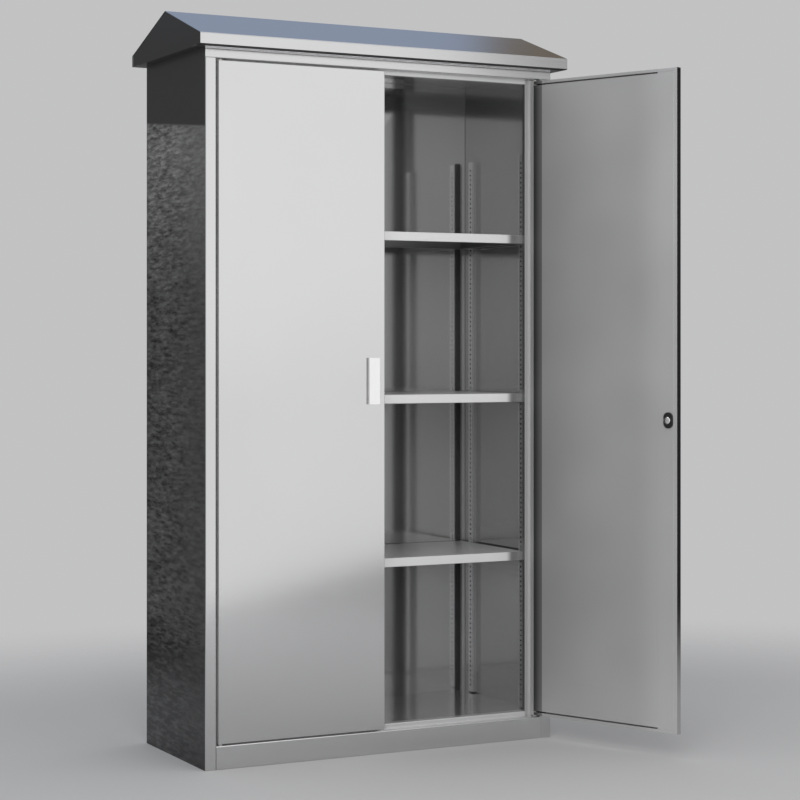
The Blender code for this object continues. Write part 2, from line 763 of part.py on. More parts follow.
def end_bores(side, upper_x, lower_x):
    """Bores through a door's ends for the bushes and for the bolts or rods."""
    bush = BUSH_RADIUS + SEAT_GAP
    rod = ROD_RADIUS + RUNNING_GAP
    tools = []
    for edge, bolt_x in ((DOOR_TOP, upper_x), (DOOR_BOTTOM, lower_x)):
        low, high = edge - OVERRUN, edge + OVERRUN
        tools.append(rod_shape(bush, low, high, (side * PIVOT_X, DOOR_MIDDLE)))
        tools.append(rod_shape(rod, low, high, (side * bolt_x, DOOR_MIDDLE), sides=ROD_SIDES))
    return merged(*tools)


def door_shell(side_name, axis, upper_x, lower_x):
    """Outer skin folded back on all four sides, with a lip round the inner face."""
    side = SIDES[side_name]
    shape = box(ordered(side * DOOR_FREE, side * DOOR_HINGE), (FRONT, DOOR_INNER), (DOOR_BOTTOM, DOOR_TOP))
    shell = solid(f"{side_name}_door_shell", shape, satin_steel(), axis)
    soften(shell, DOOR_ROUND)
    sheet = DOOR_SHEET
    cut(shell, "hollow", box(ordered(side * (DOOR_FREE + sheet), side * (DOOR_HINGE - sheet)),
                             (FRONT + sheet, DOOR_INNER - sheet), (DOOR_BOTTOM + sheet, DOOR_TOP - sheet)))
    cut(shell, "mouth", box(ordered(side * (DOOR_FREE + DOOR_EDGE_LIP), side * (DOOR_HINGE - DOOR_HINGE_LIP)),
                            (DOOR_INNER - sheet * 2, DOOR_INNER + OVERRUN),
                            (DOOR_BOTTOM + DOOR_END_LIP, DOOR_TOP - DOOR_END_LIP)))
    cut(shell, "end_bores", end_bores(side, upper_x, lower_x))
    return shell


def door_liner(side_name, axis):
    """Inner sheet between the hinge lip and the edge stile, with a drain slot above and below."""
    side = SIDES[side_name]
    half = DOOR_SHEET / 2
    near = STILE_EDGE + SEAT_GAP + half
    far = DOOR_HINGE - DOOR_HINGE_LIP - SEAT_GAP - half
    level = DOOR_INNER - half
    path = [(near, level - LINER_FLANGE), (near, level), (far, level), (far, level - LINER_FLANGE)]
    path = [(side * x, y) for x, y in path]
    end = DOOR_END_LIP + LINER_SLOT
    shape = folded_even(path, DOOR_SHEET, DOOR_BOTTOM + end, DOOR_TOP - end, "z")
    solid(f"{side_name}_door_liner", shape, satin_steel(), axis)


def edge_stile(side_name, axis):
    """Box channel along the door's free edge, which covers the bolts."""
    side = SIDES[side_name]
    half = DOOR_SHEET / 2
    near = DOOR_FREE + DOOR_EDGE_LIP + SEAT_GAP + half
    far = STILE_EDGE - half
    level = DOOR_INNER - half
    leg = FRONT + DOOR_SHEET + SEAT_GAP
    path = [(near, leg), (near, level), (far, level), (far, leg)]
    path = [(side * x, y) for x, y in path]
    end = DOOR_END_LIP + SEAT_GAP
    shape = folded_even(path, DOOR_SHEET, DOOR_BOTTOM + end, DOOR_TOP - end, "z")
    return solid(f"{side_name}_door_edge_stile", shape, satin_steel(), axis)


def door_pull(side_name, axis):
    """Pull folded from plate: a foot on the door, a web and a grip open to the free edge."""
    side = SIDES[side_name]
    half = PULL_SHEET / 2
    outer = DOOR_FREE + PULL_INSET + PULL_WIDTH
    foot = FRONT - SEAT_GAP - half
    grip = FRONT - PULL_RISE + half
    path = [(outer - PULL_FOOT, foot), (outer - half, foot), (outer - half, grip), (outer - PULL_WIDTH, grip)]
    path = [(side * x, y) for x, y in path]
    shape = folded_even(path, PULL_SHEET, PULL_BOTTOM, PULL_BOTTOM + PULL_HEIGHT, "z")
    solid(f"{side_name}_door_pull", shape, pale_pull_finish(), axis)


def guide_block(name, x, level, axis):
    """Block on the back of a door's skin, bored for a sliding rod."""
    front = FRONT + DOOR_SHEET + SEAT_GAP
    shape = box((x - GUIDE_WIDTH / 2, x + GUIDE_WIDTH / 2), (front, front + GUIDE_DEPTH),
                (level - GUIDE_HEIGHT / 2, level + GUIDE_HEIGHT / 2))
    block = solid(name, shape, nylon(), axis)
    cut(block, "bore", rod_shape(ROD_RADIUS + RUNNING_GAP, level - GUIDE_HEIGHT, level + GUIDE_HEIGHT,
                                 (x, DOOR_MIDDLE), sides=ROD_SIDES))


# Flush bolts of the left door

def bolt_ends(end):
    """Tip level, direction from the tip into the door, and level of the knob."""
    if end == "upper":
        tip, inward = DOOR_TOP - ROD_TIP_INSET, -1
    else:
        tip, inward = DOOR_BOTTOM + ROD_TIP_INSET, 1
    return tip, inward, tip + inward * (FLUSH_BOLT_LENGTH - KNOB_END_INSET - KNOB_HEIGHT / 2)


def rod_blank(x, tip, tail):
    """Round rod with a chamfered tip."""
    inward = math.copysign(ROD_CHAMFER, tail - tip)
    profile = [(0, tip), (ROD_RADIUS - ROD_CHAMFER, tip), (ROD_RADIUS, tip + inward), (ROD_RADIUS, tail),
               (0, tail)]
    return moved(turned(profile, ROD_SIDES), Matrix.Translation((x, DOOR_MIDDLE, 0)))


def flush_bolt(end, axis):
    tip, inward, knob = bolt_ends(end)
    x = -DOOR_FREE - FLUSH_BOLT_INSET
    shape = rod_blank(x, tip, tip + inward * FLUSH_BOLT_LENGTH)
    bolt = solid(f"{end}_flush_bolt", shape, zinc_steel(), axis, is_round=True)
    unite(bolt, "knob", box((x - KNOB_WIDTH / 2, x + KNOB_WIDTH / 2), (DOOR_MIDDLE, DOOR_INNER + KNOB_PROUD),
                            (knob - KNOB_HEIGHT / 2, knob + KNOB_HEIGHT / 2)))


def cut_knob_slots(stile):
    """Slots in the left edge stile that the knobs travel in."""
    x = -DOOR_FREE - FLUSH_BOLT_INSET
    half_width = KNOB_WIDTH / 2 + STRIKE_CLEARANCE
    half_height = KNOB_HEIGHT / 2 + STRIKE_CLEARANCE
    tools = []
    for end in ("upper", "lower"):
        tip, inward, knob = bolt_ends(end)
        low, high = ordered(knob + inward * half_height, knob - inward * (half_height + BOLT_STROKE))
        tools.append(box((x - half_width, x + half_width), (DOOR_MIDDLE, DOOR_INNER + OVERRUN), (low, high)))
    cut(stile, "knob_slots", merged(*tools))


# Lock of the right door

def lock_housing(shell, axis):
    """Flanged barrel through the door's face."""
    flange_back = DOOR_THICKNESS / 2 + SEAT_GAP
    flange_front = flange_back + HOUSING_FLANGE
    barrel_end = DOOR_THICKNESS / 2 - BARREL_REACH
    bore = PLUG_RADIUS + RUNNING_GAP
    profile = [
        (bore, barrel_end),
        (BARREL_RADIUS, barrel_end),
        (BARREL_RADIUS, flange_back),
        (HOUSING_RADIUS, flange_back),
        (HOUSING_RADIUS, flange_front - HOUSING_CHAMFER),
        (HOUSING_RADIUS - HOUSING_CHAMFER, flange_front),
        (bore, flange_front),
    ]
    shape = moved(turned(profile), facing_front(LOCK_X, DOOR_MIDDLE, LOCK_HEIGHT))
    solid("lock_housing", shape, lock_chrome(), axis, is_round=True)
    cut(shell, "lock_bore", rod_shape(BARREL_RADIUS + SEAT_GAP, FRONT - OVERRUN, FRONT + OVERRUN,
                                      (LOCK_X, LOCK_HEIGHT), "y"))


def lock_plug(axis):
    """Key plug with the spindle that carries the driver and the inner cap."""
    face = DOOR_THICKNESS / 2 + SEAT_GAP + HOUSING_FLANGE - PLUG_RECESS
    shoulder = DOOR_THICKNESS / 2 - BARREL_REACH
    spindle_end = DOOR_MIDDLE - (DOOR_INNER + SEAT_GAP + COVER_THICKNESS)
    profile = [(0, spindle_end), (SPINDLE_RADIUS, spindle_end), (SPINDLE_RADIUS, shoulder),
               (PLUG_RADIUS, shoulder), (PLUG_RADIUS, face), (0, face)]
    shape = moved(turned(profile), facing_front(LOCK_X, DOOR_MIDDLE, LOCK_HEIGHT))
    plug = solid("lock_plug", shape, lock_chrome(), axis, is_round=True)
    front = DOOR_MIDDLE - face
    cut(plug, "key_slot", box((LOCK_X - KEY_SLOT_WIDTH / 2, LOCK_X + KEY_SLOT_WIDTH / 2),
                              (front - OVERRUN, front + KEY_SLOT_DEPTH),
                              (LOCK_HEIGHT - KEY_SLOT_LENGTH / 2, LOCK_HEIGHT + KEY_SLOT_LENGTH / 2)))


def crank_pins():
    """Places of the two crank pins with the lock turned back."""
    across = CRANK_RADIUS * math.cos(LOCK_TURN / 2)
    down = CRANK_RADIUS * CRANK_SHARE
    return [(LOCK_X + across, LOCK_HEIGHT - down), (LOCK_X - across, LOCK_HEIGHT + down)]


def lock_driver(axis):
    """Disc on the spindle with a crank pin for each rod."""
    centre = (LOCK_X, LOCK_HEIGHT)
    disc = solid("lock_driver",
                 rod_shape(DRIVER_RADIUS, DRIVER_FRONT, DRIVER_FRONT + DRIVER_THICKNESS, centre, "y"),
                 zinc_steel(), axis, is_round=True)
    reach = (DOOR_MIDDLE - YOKE_THICKNESS / 2 - SEAT_GAP, DRIVER_FRONT + DRIVER_THICKNESS / 2)
    pins = [rod_shape(CRANK_PIN_RADIUS, *reach, place, "y", ROD_SIDES) for place in crank_pins()]
    unite(disc, "crank_pins", merged(*pins))
    cut(disc, "spindle_bore", rod_shape(SPINDLE_RADIUS + SEAT_GAP, DRIVER_FRONT - OVERRUN,
                                        DRIVER_FRONT + OVERRUN, centre, "y"))


def lock_rod(end, axis):
    """Rod from a slotted yoke on the driver's crank pin to the end of the door."""
    right_pin, left_pin = crank_pins()
    if end == "upper":
        x, level, tip = LOCK_X + ROD_OFFSET, right_pin[1], DOOR_TOP - ROD_TIP_INSET
    else:
        x, level, tip = LOCK_X - ROD_OFFSET, left_pin[1], DOOR_BOTTOM + ROD_TIP_INSET
    half_slot = CRANK_PIN_RADIUS + YOKE_CLEARANCE
    half_height = half_slot + YOKE_WALL
    slot_reach = (YOKE_OUTER - YOKE_INNER) / 2
    outward = math.copysign(half_slot + YOKE_WALL / 2, tip - level)
    rod = solid(f"{end}_lock_rod", rod_blank(x, tip, level + outward), zinc_steel(), axis, is_round=True)
    thick = (DOOR_MIDDLE - YOKE_THICKNESS / 2, DOOR_MIDDLE + YOKE_THICKNESS / 2)
    unite(rod, "yoke", box((x - slot_reach - YOKE_WALL, x + slot_reach + YOKE_WALL), thick,
                           (level - half_height, level + half_height)))
    cut(rod, "yoke_slot", box((x - slot_reach, x + slot_reach), (thick[0] - OVERRUN, thick[1] + OVERRUN),
                              (level - half_slot, level + half_slot)))


def lock_cover(axis):
    """Oval cover over the lock on the door's inner face."""
    radius = COVER_WIDTH / 2
    straight = COVER_HEIGHT / 2 - radius
    half_turn = ROUND_SIDES // 2
    outline = []
    for middle, start in ((LOCK_HEIGHT + straight, 0), (LOCK_HEIGHT - straight, math.pi)):
        for step in range(half_turn + 1):
            turn = start + math.pi * step / half_turn
            outline.append((LOCK_X + radius * math.cos(turn), middle + radius * math.sin(turn)))
    low = DOOR_INNER + SEAT_GAP
    cover = solid("lock_cover", prism(outline, low, low + COVER_THICKNESS, "y"), black_plastic(), axis,
                  is_round=True)
    cut(cover, "spindle_bore", rod_shape(SPINDLE_BORE_RADIUS, low - OVERRUN, low + COVER_THICKNESS + OVERRUN,
                                         (LOCK_X, LOCK_HEIGHT), "y"))


def spindle_cap(axis):
    """Domed cap on the end of the spindle, seen on the inner face."""
    base = DOOR_MIDDLE - (DOOR_INNER + SEAT_GAP + COVER_THICKNESS + SEAT_GAP)
    crown = base - CAP_THICKNESS
    profile = [(0, crown), (CAP_RADIUS - CAP_CHAMFER * 2, crown), (CAP_RADIUS, crown + CAP_CHAMFER),
               (CAP_RADIUS, base), (0, base)]
    shape = moved(turned(profile), facing_front(LOCK_X, DOOR_MIDDLE, LOCK_HEIGHT))
    solid("spindle_cap", shape, lock_chrome(), axis, is_round=True)


# Assembly

def carcass():
    for side_name in SIDES:
        side_panel(side_name)
        roof_gable(side_name)
        for end in ("top", "bottom"):
            pivot_pin(side_name, end)
    header_rail()
    plinth_rail()
    back_panel()
    top_panel()
    floor_panel()
    rear_base_rail()
    base_brace()
    roof_cover()


def shelving():
    for place in ("front", "rear"):
        for side_name in SIDES:
            upright(place, side_name)
    for level_name, top in zip(("lower", "middle", "upper"), shelf_levels()):
        shelf(f"{level_name}_shelf", top)
        for place in ("front", "rear"):
            for side_name in SIDES:
                shelf_clip(f"{level_name}_{place}_{side_name}_clip", place, side_name, top)


def common_door_pieces(side_name, pivot):
    door_liner(side_name, pivot)
    door_pull(side_name, pivot)
    for end in ("top", "bottom"):
        pivot_bush(side_name, end, pivot)
    return edge_stile(side_name, pivot)


def left_door():
    pivot = joint_empty("left_door_pivot", (-PIVOT_X, DOOR_MIDDLE, 0))
    bolt_x = DOOR_FREE + FLUSH_BOLT_INSET
    door_shell("left", pivot, bolt_x, bolt_x)
    cut_knob_slots(common_door_pieces("left", pivot))
    for end in ("upper", "lower"):
        tip, inward, knob = bolt_ends(end)
        flush_bolt(end, pivot)
        guide_block(f"{end}_flush_bolt_guide", -bolt_x, tip + inward * ROD_GUIDE_INSET, pivot)


def right_door():
    pivot = joint_empty("right_door_pivot", (PIVOT_X, DOOR_MIDDLE, 0))
    spindle = joint_empty("lock_spindle_axis", (LOCK_X, DOOR_MIDDLE, LOCK_HEIGHT), pivot)
    shell = door_shell("right", pivot, LOCK_X + ROD_OFFSET, LOCK_X - ROD_OFFSET)
    stile = common_door_pieces("right", pivot)
    cut(stile, "spindle_bore", rod_shape(SPINDLE_BORE_RADIUS, DOOR_MIDDLE, DOOR_INNER + OVERRUN,
                                         (LOCK_X, LOCK_HEIGHT), "y"))
    lock_housing(shell, pivot)
    lock_cover(pivot)
    lock_plug(spindle)
    lock_driver(spindle)
    spindle_cap(spindle)
    for end, x, tip, inward in (("upper", LOCK_X + ROD_OFFSET, DOOR_TOP, -1),
                                ("lower", LOCK_X - ROD_OFFSET, DOOR_BOTTOM, 1)):
        lock_rod(end, pivot)
        guide_block(f"{end}_rod_guide", x, tip + inward * ROD_GUIDE_INSET, pivot)
    pivot.rotation_euler.z = RIGHT_DOOR_OPENING


def main():
    clear_scene()
    carcass()
    shelving()
    left_door()
    right_door()
    bpy.context.view_layer.update()


main()
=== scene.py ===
"""Looks of the outdoor storage cabinet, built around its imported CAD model.

Metres in the CAD's own frame: +Z up, the doors face -Y, and the lock door hangs on the +X side.
"""

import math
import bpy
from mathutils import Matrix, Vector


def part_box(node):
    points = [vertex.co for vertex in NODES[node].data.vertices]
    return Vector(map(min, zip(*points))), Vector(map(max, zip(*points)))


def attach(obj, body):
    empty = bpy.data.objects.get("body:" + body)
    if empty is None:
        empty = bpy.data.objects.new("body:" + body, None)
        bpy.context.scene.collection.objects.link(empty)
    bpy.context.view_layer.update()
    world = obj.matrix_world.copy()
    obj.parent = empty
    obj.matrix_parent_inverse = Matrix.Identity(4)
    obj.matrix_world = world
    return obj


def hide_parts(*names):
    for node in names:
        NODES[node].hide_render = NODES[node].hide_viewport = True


bl_info = {
    "name": "Outdoor Cabinet Looks",
    "version": (1, 0, 0),
    "blender": (4, 5, 0),
    "location": "View3D > Sidebar > Cabinet",
    "description": "Finishes, slotted uprights, lock furniture, fixings and stage of a steel cabinet",
    "category": "Object",
}

import bmesh
import bpy
from bpy.props import FloatProperty, FloatVectorProperty, IntProperty, PointerProperty
from mathutils import Matrix, Vector

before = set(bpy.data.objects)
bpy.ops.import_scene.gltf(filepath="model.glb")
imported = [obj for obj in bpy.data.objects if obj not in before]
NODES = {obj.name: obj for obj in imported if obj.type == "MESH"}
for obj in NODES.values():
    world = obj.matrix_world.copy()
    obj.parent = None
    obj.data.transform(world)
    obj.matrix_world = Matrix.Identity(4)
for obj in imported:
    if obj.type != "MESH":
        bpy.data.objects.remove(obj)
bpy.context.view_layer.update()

# Camera, fitted to the straight edges of the cabinet
IMAGE_SIZE = 800
FOCAL_PIXELS = 2086.31
HORIZON_ROW = 347.65
SENSOR_WIDTH = 36.0
CAMERA_PLACE = (-2.4373, -5.0390, 1.0523)
CAMERA_HEADING = math.radians(-27.19)

# Sheet and section sizes that the CAD model was built with
SHEET = 0.0012
BEND_RADIUS = 0.0014
BEND_STEPS = 4
EDGE_STEPS = 3
CLIP_RISE = 0.0100

# Places in the CAD model that split one folded sheet into faces of their own finish
SIDE_LOW, SIDE_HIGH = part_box("right_side_panel")
HALF_WIDTH = SIDE_HIGH.x
FRONT = SIDE_LOW.y
INNER_WALL = HALF_WIDTH - 0.0310
JAMB_DEPTH = 0.0280
HEADER_TOP = SIDE_HIGH.z
BACK_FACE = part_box("back_panel")[0].y
DOOR_EDGE = -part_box("left_door_shell")[1].x
DOOR_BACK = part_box("left_door_liner")[1].y
DOOR_SEAM = (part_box("left_door_liner")[1].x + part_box("left_door_edge_stile")[0].x) / 2

# Where painted shade, painted light and painted reflections in the finish begin and end, measured across,
# deep or high
EAVE_EDGE = FRONT * 0.7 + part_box("roof_cover")[0].y * 0.3
JAMB_LIGHT_RAMP = (0.438, 0.452)
HINGE_SHADE_BAND = (0.4265, 0.4535)
FREE_EDGE = (0.14, 0.03)
FREE_EDGE_FOOT = (0.42, 0.12)
MIRRORED_JAMB = (0.262, 0.285)
MIRRORED_HINGE = (0.396, 0.416)
UPRIGHT_GAP = (0.436, 0.4535)
WALL_BAND, WALL_BAND_SLOPE = (1.630, 1.622), 0.106
WALL_GLOW = (1.08, 1.62)
WALL_FOOT = (0.40, 0.22)
MOTTLE_START = (FRONT, FRONT + 0.30)

# How near to a face's plane the finish counts as on that face
NEAR = SHEET / 4

# Noise in the finishes by scale and detail, and the steel's streaks and the left outer wall's painted
# mottled reflection by scale along each axis
CLOUDS = (2.6, 3.0)
DOOR_CLOUDS = (3.4, 1.0)
GRAIN = (1100.0, 1.0)
ZINC_HAZE = (60.0, 3.0)
PAINT_PEEL, PAINT_HAZE = (700.0, 2.0), (18.0, 2.0)
PLASTIC_SPARK, PLASTIC_HAZE = (2400.0, 2.0), (120.0, 2.0)
NYLON_HAZE = (150.0, 2.0)
CHROME_HAZE = (260.0, 3.0)
FLOOR_HAZE = (0.8, 3.0)
SPANGLE_SCALE = 420.0
STREAKS_ACROSS = (3.0, 500.0, 500.0)
STREAKS_UP = (500.0, 500.0, 3.0)
UPRIGHT_STREAKS = (400.0, 400.0, 4.0)
MOTTLE = (85.0, 25.5, 127.5)
STREAK_DETAIL = (3.0, 0.6)

# Relief of the finishes by height and strength
STEEL_RELIEF = (0.00002, 0.25)
ZINC_RELIEF = (0.00004, 0.25)
PAINT_RELIEF = (0.00005, 0.4)
PLASTIC_RELIEF = (0.00006, 0.5)
NYLON_RELIEF = (0.00005, 0.3)
CHROME_RELIEF = (0.00002, 0.3)

# Shades as parts of the base colour, painted shade, painted light and painted reflections among them: a
# level, then what each mask or pattern adds to it
# Doors: clouds, painted light towards the free edge, painted shade by the hinges and on the free edge's
# face
LINER_SHADE = (1.0, 0.35, 0.10, 0.2)
HINGE_SHADE_DEPTH = (0.55, 0.33)
FREE_EDGE_SHADE = (0.03, 0.8)
# Rails and roof: streaks, painted shade under the roof's front edge and a painted highlight on the header's
# top fold
RAIL_SHADE = (1.0, 0.12)
EAVE_SHADE_AND_BEND_HIGHLIGHT = (1.0, -0.85, 0.55)
# Shelves, back and uprights: painted shade under the shelves, behind the uprights' rear legs and inside
# their channels, and painted reflections on the lips' ends and the back
SHELF_SHADE = (1.0, -0.6, -0.7)
MIRRORED_SHADE = (0.48, 0.70)
GAP_SHADE = (1.0, -0.7)
CHANNEL_SHADE = (1.0, -0.9)
# Side panels: painted light on the jamb, painted shade behind the uprights
JAMB_SHADE = (0.72, 1.1, 0.08)
HIDDEN_SHADE = (0.10, 0.05)
# The left outer wall: painted shade, painted light and a painted mottled reflection
WALL_SHADE = (0.50, 0.24, 1.10)
WALL_FOOT_SHADE = (1.0, -0.88)
MOTTLE_SHADE = (0.40, 0.60)
MOTTLE_CONTRAST = (3.2, 3.6)
MOTTLE_FOOT = (1.0, -0.6)
# Small parts and floor: their own tone, varied by noise
ZINC_SHADE = (0.94, 0.10, 0.12)
PAINT_SHADE = (1.0, 0.04)
PLASTIC_SHADE = (1.0, 0.5)
NYLON_SHADE = (1.0, 0.12)
CHROME_SHADE = (1.0, 0.10)
FLOOR_SHADE = (1.0, 0.03)

# Roughness in the same way; the steel's own level is a setting, so only what is added stands here
STEEL_ROUGHER = (0.05, 0.03, 0.20)
SIDE_ROUGHER = (0.25, 0.05, 0.3)
RAIL_ROUGHER, EAVE_ROUGHER, SHELF_ROUGHER = 0.05, 0.5, 0.20
ZINC_ROUGHNESS = (0.26, 0.12, 0.10)
PAINT_ROUGHNESS = (0.34, 0.08, 0.06)
PLASTIC_ROUGHNESS = (0.42, 0.12, 0.10)
NYLON_ROUGHNESS = (0.48, 0.12)
CHROME_ROUGHNESS = (0.16, 0.14)
FLOOR_ROUGHNESS = (0.75, 0.1)

# How metallic the steel looks, in the same way, and even all over where it is one number
DOOR_METAL = (0.5, 0.5, 0.5)
RAIL_METAL = (1.0, -0.55)
SIDE_METAL = (1.0, -0.75, -0.2, -0.2)
SHELF_METAL, BACK_METAL, UPRIGHT_METAL = 0.55, 0.8, 0.8

# Outlines of turned heads, from the axis outward and down, in parts of the radius and of the rise
SCREW_HEAD = ((0, 0.3), (0.45, 0.3), (0.5, 1), (0.85, 0.8), (1, 0), (1, -0.25), (0, -0.25))
RIVET_HEAD = ((0, 0.55), (0.22, 0.55), (0.28, 1), (0.6, 0.85), (0.88, 0.45), (1, 0), (1, -0.25), (0, -0.25))
KNOB_SIDES, SCREW_SIDES, RIVET_SIDES = 40, 20, 16
KNOB_STEPS = 8
KNOB_RIM = 0.45

# Small sizes of pieces made here
KNOB_LIFT = SHEET / 4
PULL_EDGE = SHEET / 3
SEAM_HALF_WIDTH, SEAM_CROWN = BEND_RADIUS * 1.1, SHEET / 40
MERGE_DISTANCE = 1e-6
FLAT_ANGLE = math.radians(1)

# The lock door stands open in the CAD model, turned about its pivots
PIVOT = Vector((0.4567, -0.2010, 0))
OPENING = math.radians(113)

# Soft front light: its foot runs away from the cabinet over the floor, as the doors' reflections show
LIGHT_FOOT = Vector((0.90, -3.25, 0.02))
LIGHT_ALONG = Vector((0.744, -0.668, 0))
LIGHT_BEGIN, LIGHT_END = -1.5, 3.0
LIGHT_RISE = 3.4
FILL_PLACE, FILL_SIZE = Vector((-2.6, -4.4, 2.6)), (3.0, 3.0)
FILL_AIM = Vector((0, 0, 1))
TOP_PLACE, TOP_SIZE = Vector((0, -0.6, 4.8)), (4.5, 4.5)
FLOOR_CENTRE = (0, -1.0)
FLOOR_FADE = (1.8, 3.6)
FLOOR_SIDES = 96

# Parts of a direction between which one of the surroundings fades into the next
GROUND_TO_AHEAD = (-0.02, 0.02)
BEHIND_TO_ABOVE = (0.12, 0.44)
ABOVE_TO_ASIDE = (0.475, 0.50)
ABOVE_TO_AHEAD = (0.44, 0.95)
AHEAD_TO_BEHIND = (-0.2, 0.8)


# Settings

def length(name, description, default):
    return FloatProperty(name=name, description=description, default=default, unit="LENGTH", min=0.0)


def share(name, description, default):
    return FloatProperty(name=name, description=description, default=default, subtype="FACTOR",
                         min=0.0, max=1.0)


def colour(name, description, default):
    return FloatVectorProperty(name=name, description=description, default=default, subtype="COLOR",
                               size=3, min=0.0, max=1.0)


class FinishSettings(bpy.types.PropertyGroup):
    steel: colour("Steel", "Satin sheet steel of the doors and the front", (0.62, 0.62, 0.625))
    steel_roughness: share("Steel roughness", "Roughness of the satin sheet steel", 0.125)
    # Outer walls: the satin steel's colour darkened as painted shade, used on the left outer wall and the
    # gables
    wall: colour("Outer walls", "Outer faces of the side panels", (0.34, 0.34, 0.34))
    inside: colour("Inside", "Inner walls of the side panels", (0.37, 0.37, 0.37))
    back: colour("Back", "Back, top and floor panels", (0.62, 0.62, 0.62))
    inside_roughness: share("Inside roughness", "Roughness of the steel inside the cabinet", 0.085)
    liner: colour("Door insides", "Inner faces of the doors", (0.50, 0.50, 0.50))
    liner_roughness: share("Door inside roughness", "Roughness of the doors' inner faces", 0.36)
    shelf: colour("Shelves", "Satin sheet steel of the shelves", (0.80, 0.80, 0.80))
    upright: colour("Uprights", "Slotted uprights and base members", (0.56, 0.56, 0.57))
    zinc: colour("Zinc", "Clips, pins, bolts and rods", (0.58, 0.59, 0.60))
    pull: colour("Pulls", "Near-white paint of the pulls", (0.97, 0.97, 0.97))
    cover: colour("Lock cover", "Black cover behind the lock", (0.012, 0.012, 0.013))
    nylon: colour("Nylon", "Bushes and guides", (0.68, 0.66, 0.60))
    chrome: colour("Chrome", "Lock cylinder and spindle cap", (0.78, 0.78, 0.79))


class UprightSettings(bpy.types.PropertyGroup):
    slots_per_bay: IntProperty(name="Slots in a bay", description="Slots from one shelf to the next",
                               default=32, min=4, max=64)
    slot_width: length("Slot width", "Width of a slot across the web", 0.0072)
    slot_height: length("Slot height", "Height of a slot", 0.0046)
    end_margin: length("End margin", "Plain web left at each end of an upright", 0.012)


class LockSettings(bpy.types.PropertyGroup):
    cover_edge: length("Cover edge", "Rounded edge of the black cover", 0.0012)
    knob_radius: length("Knob radius", "Radius of the spindle's domed cap", 0.0094)
    knob_rise: length("Knob rise", "Height of the spindle's domed cap", 0.0075)
    screw_radius: length("Screw radius", "Radius of a cover screw's head", 0.0022)
    screw_rise: length("Screw rise", "Height of a cover screw's head", 0.0009)
    screw_offset: length("Screw offset", "Distance of a cover screw from the spindle", 0.0155)


class FixingSettings(bpy.types.PropertyGroup):
    rivet_radius: length("Rivet radius", "Radius of a back panel rivet's head", 0.0034)
    rivet_rise: length("Rivet rise", "Height of a rivet's head", 0.0013)
    rivet_inset: length("Rivet inset", "Distance of the rivets from the edges of the back panel", 0.0125)
    rivets_down: IntProperty(name="Rivets down", description="Rivets down each side of the back panel",
                             default=10, min=2, max=40)
    rivets_across: IntProperty(name="Rivets across", description="Rivets along the back's top and foot",
                               default=6, min=2, max=40)


class StageSettings(bpy.types.PropertyGroup):
    floor: colour("Floor", "Pale floor", (0.57, 0.57, 0.57))
    backdrop: colour("Backdrop", "Plain pale ground behind the cabinet", (0.54, 0.54, 0.545))
    ahead: colour("Ahead", "Surroundings in front of the cabinet", (0.47, 0.47, 0.47))
    ground: colour("Ground", "Surroundings below the horizon in front", (0.37, 0.37, 0.37))
    behind: colour("Behind", "Surroundings low down behind the cabinet", (0.085, 0.085, 0.085))
    above: colour("Above", "Surroundings high up behind the cabinet", (0.29, 0.35, 0.47))
    aside: colour("Aside", "Surroundings high up behind the cabinet's right end", (0.155, 0.125, 0.09))
    front_level: FloatProperty(name="Front light", description="Brightness of the large front light",
                               default=0.63, min=0.0)
    fill_level: FloatProperty(name="Fill light", description="Brightness of the light beside the camera",
                              default=3.4, min=0.0)
    top_level: FloatProperty(name="Top light", description="Brightness of the overhead light",
                             default=0.9, min=0.0)


class CabinetSettings(bpy.types.PropertyGroup):
    finish: PointerProperty(type=FinishSettings)
    uprights: PointerProperty(type=UprightSettings)
    lock: PointerProperty(type=LockSettings)
    fixings: PointerProperty(type=FixingSettings)
    stage: PointerProperty(type=StageSettings)


def settings():
    return bpy.context.scene.cabinet


# Node trees

class Socket:
    """Output of a node that can be used in expressions of numbers."""

    def __init__(self, tree, output):
        self.tree = tree
        self.output = output

    def maths(self, operation, first, second=0.0):
        return self.tree.node("ShaderNodeMath", {"operation": operation}, {0: first, 1: second})

    def __add__(self, other):
        return self.maths("ADD", self, other)

    __radd__ = __add__

    def __sub__(self, other):
        return self.maths("SUBTRACT", self, other)

    def __rsub__(self, other):
        return self.maths("SUBTRACT", other, self)

    def __mul__(self, other):
        return self.maths("MULTIPLY", self, other)

    __rmul__ = __mul__

    def __gt__(self, other):
        return self.maths("GREATER_THAN", self, other)

    def __lt__(self, other):
        return self.maths("LESS_THAN", self, other)

    def __abs__(self):
        return self.maths("ABSOLUTE", self)


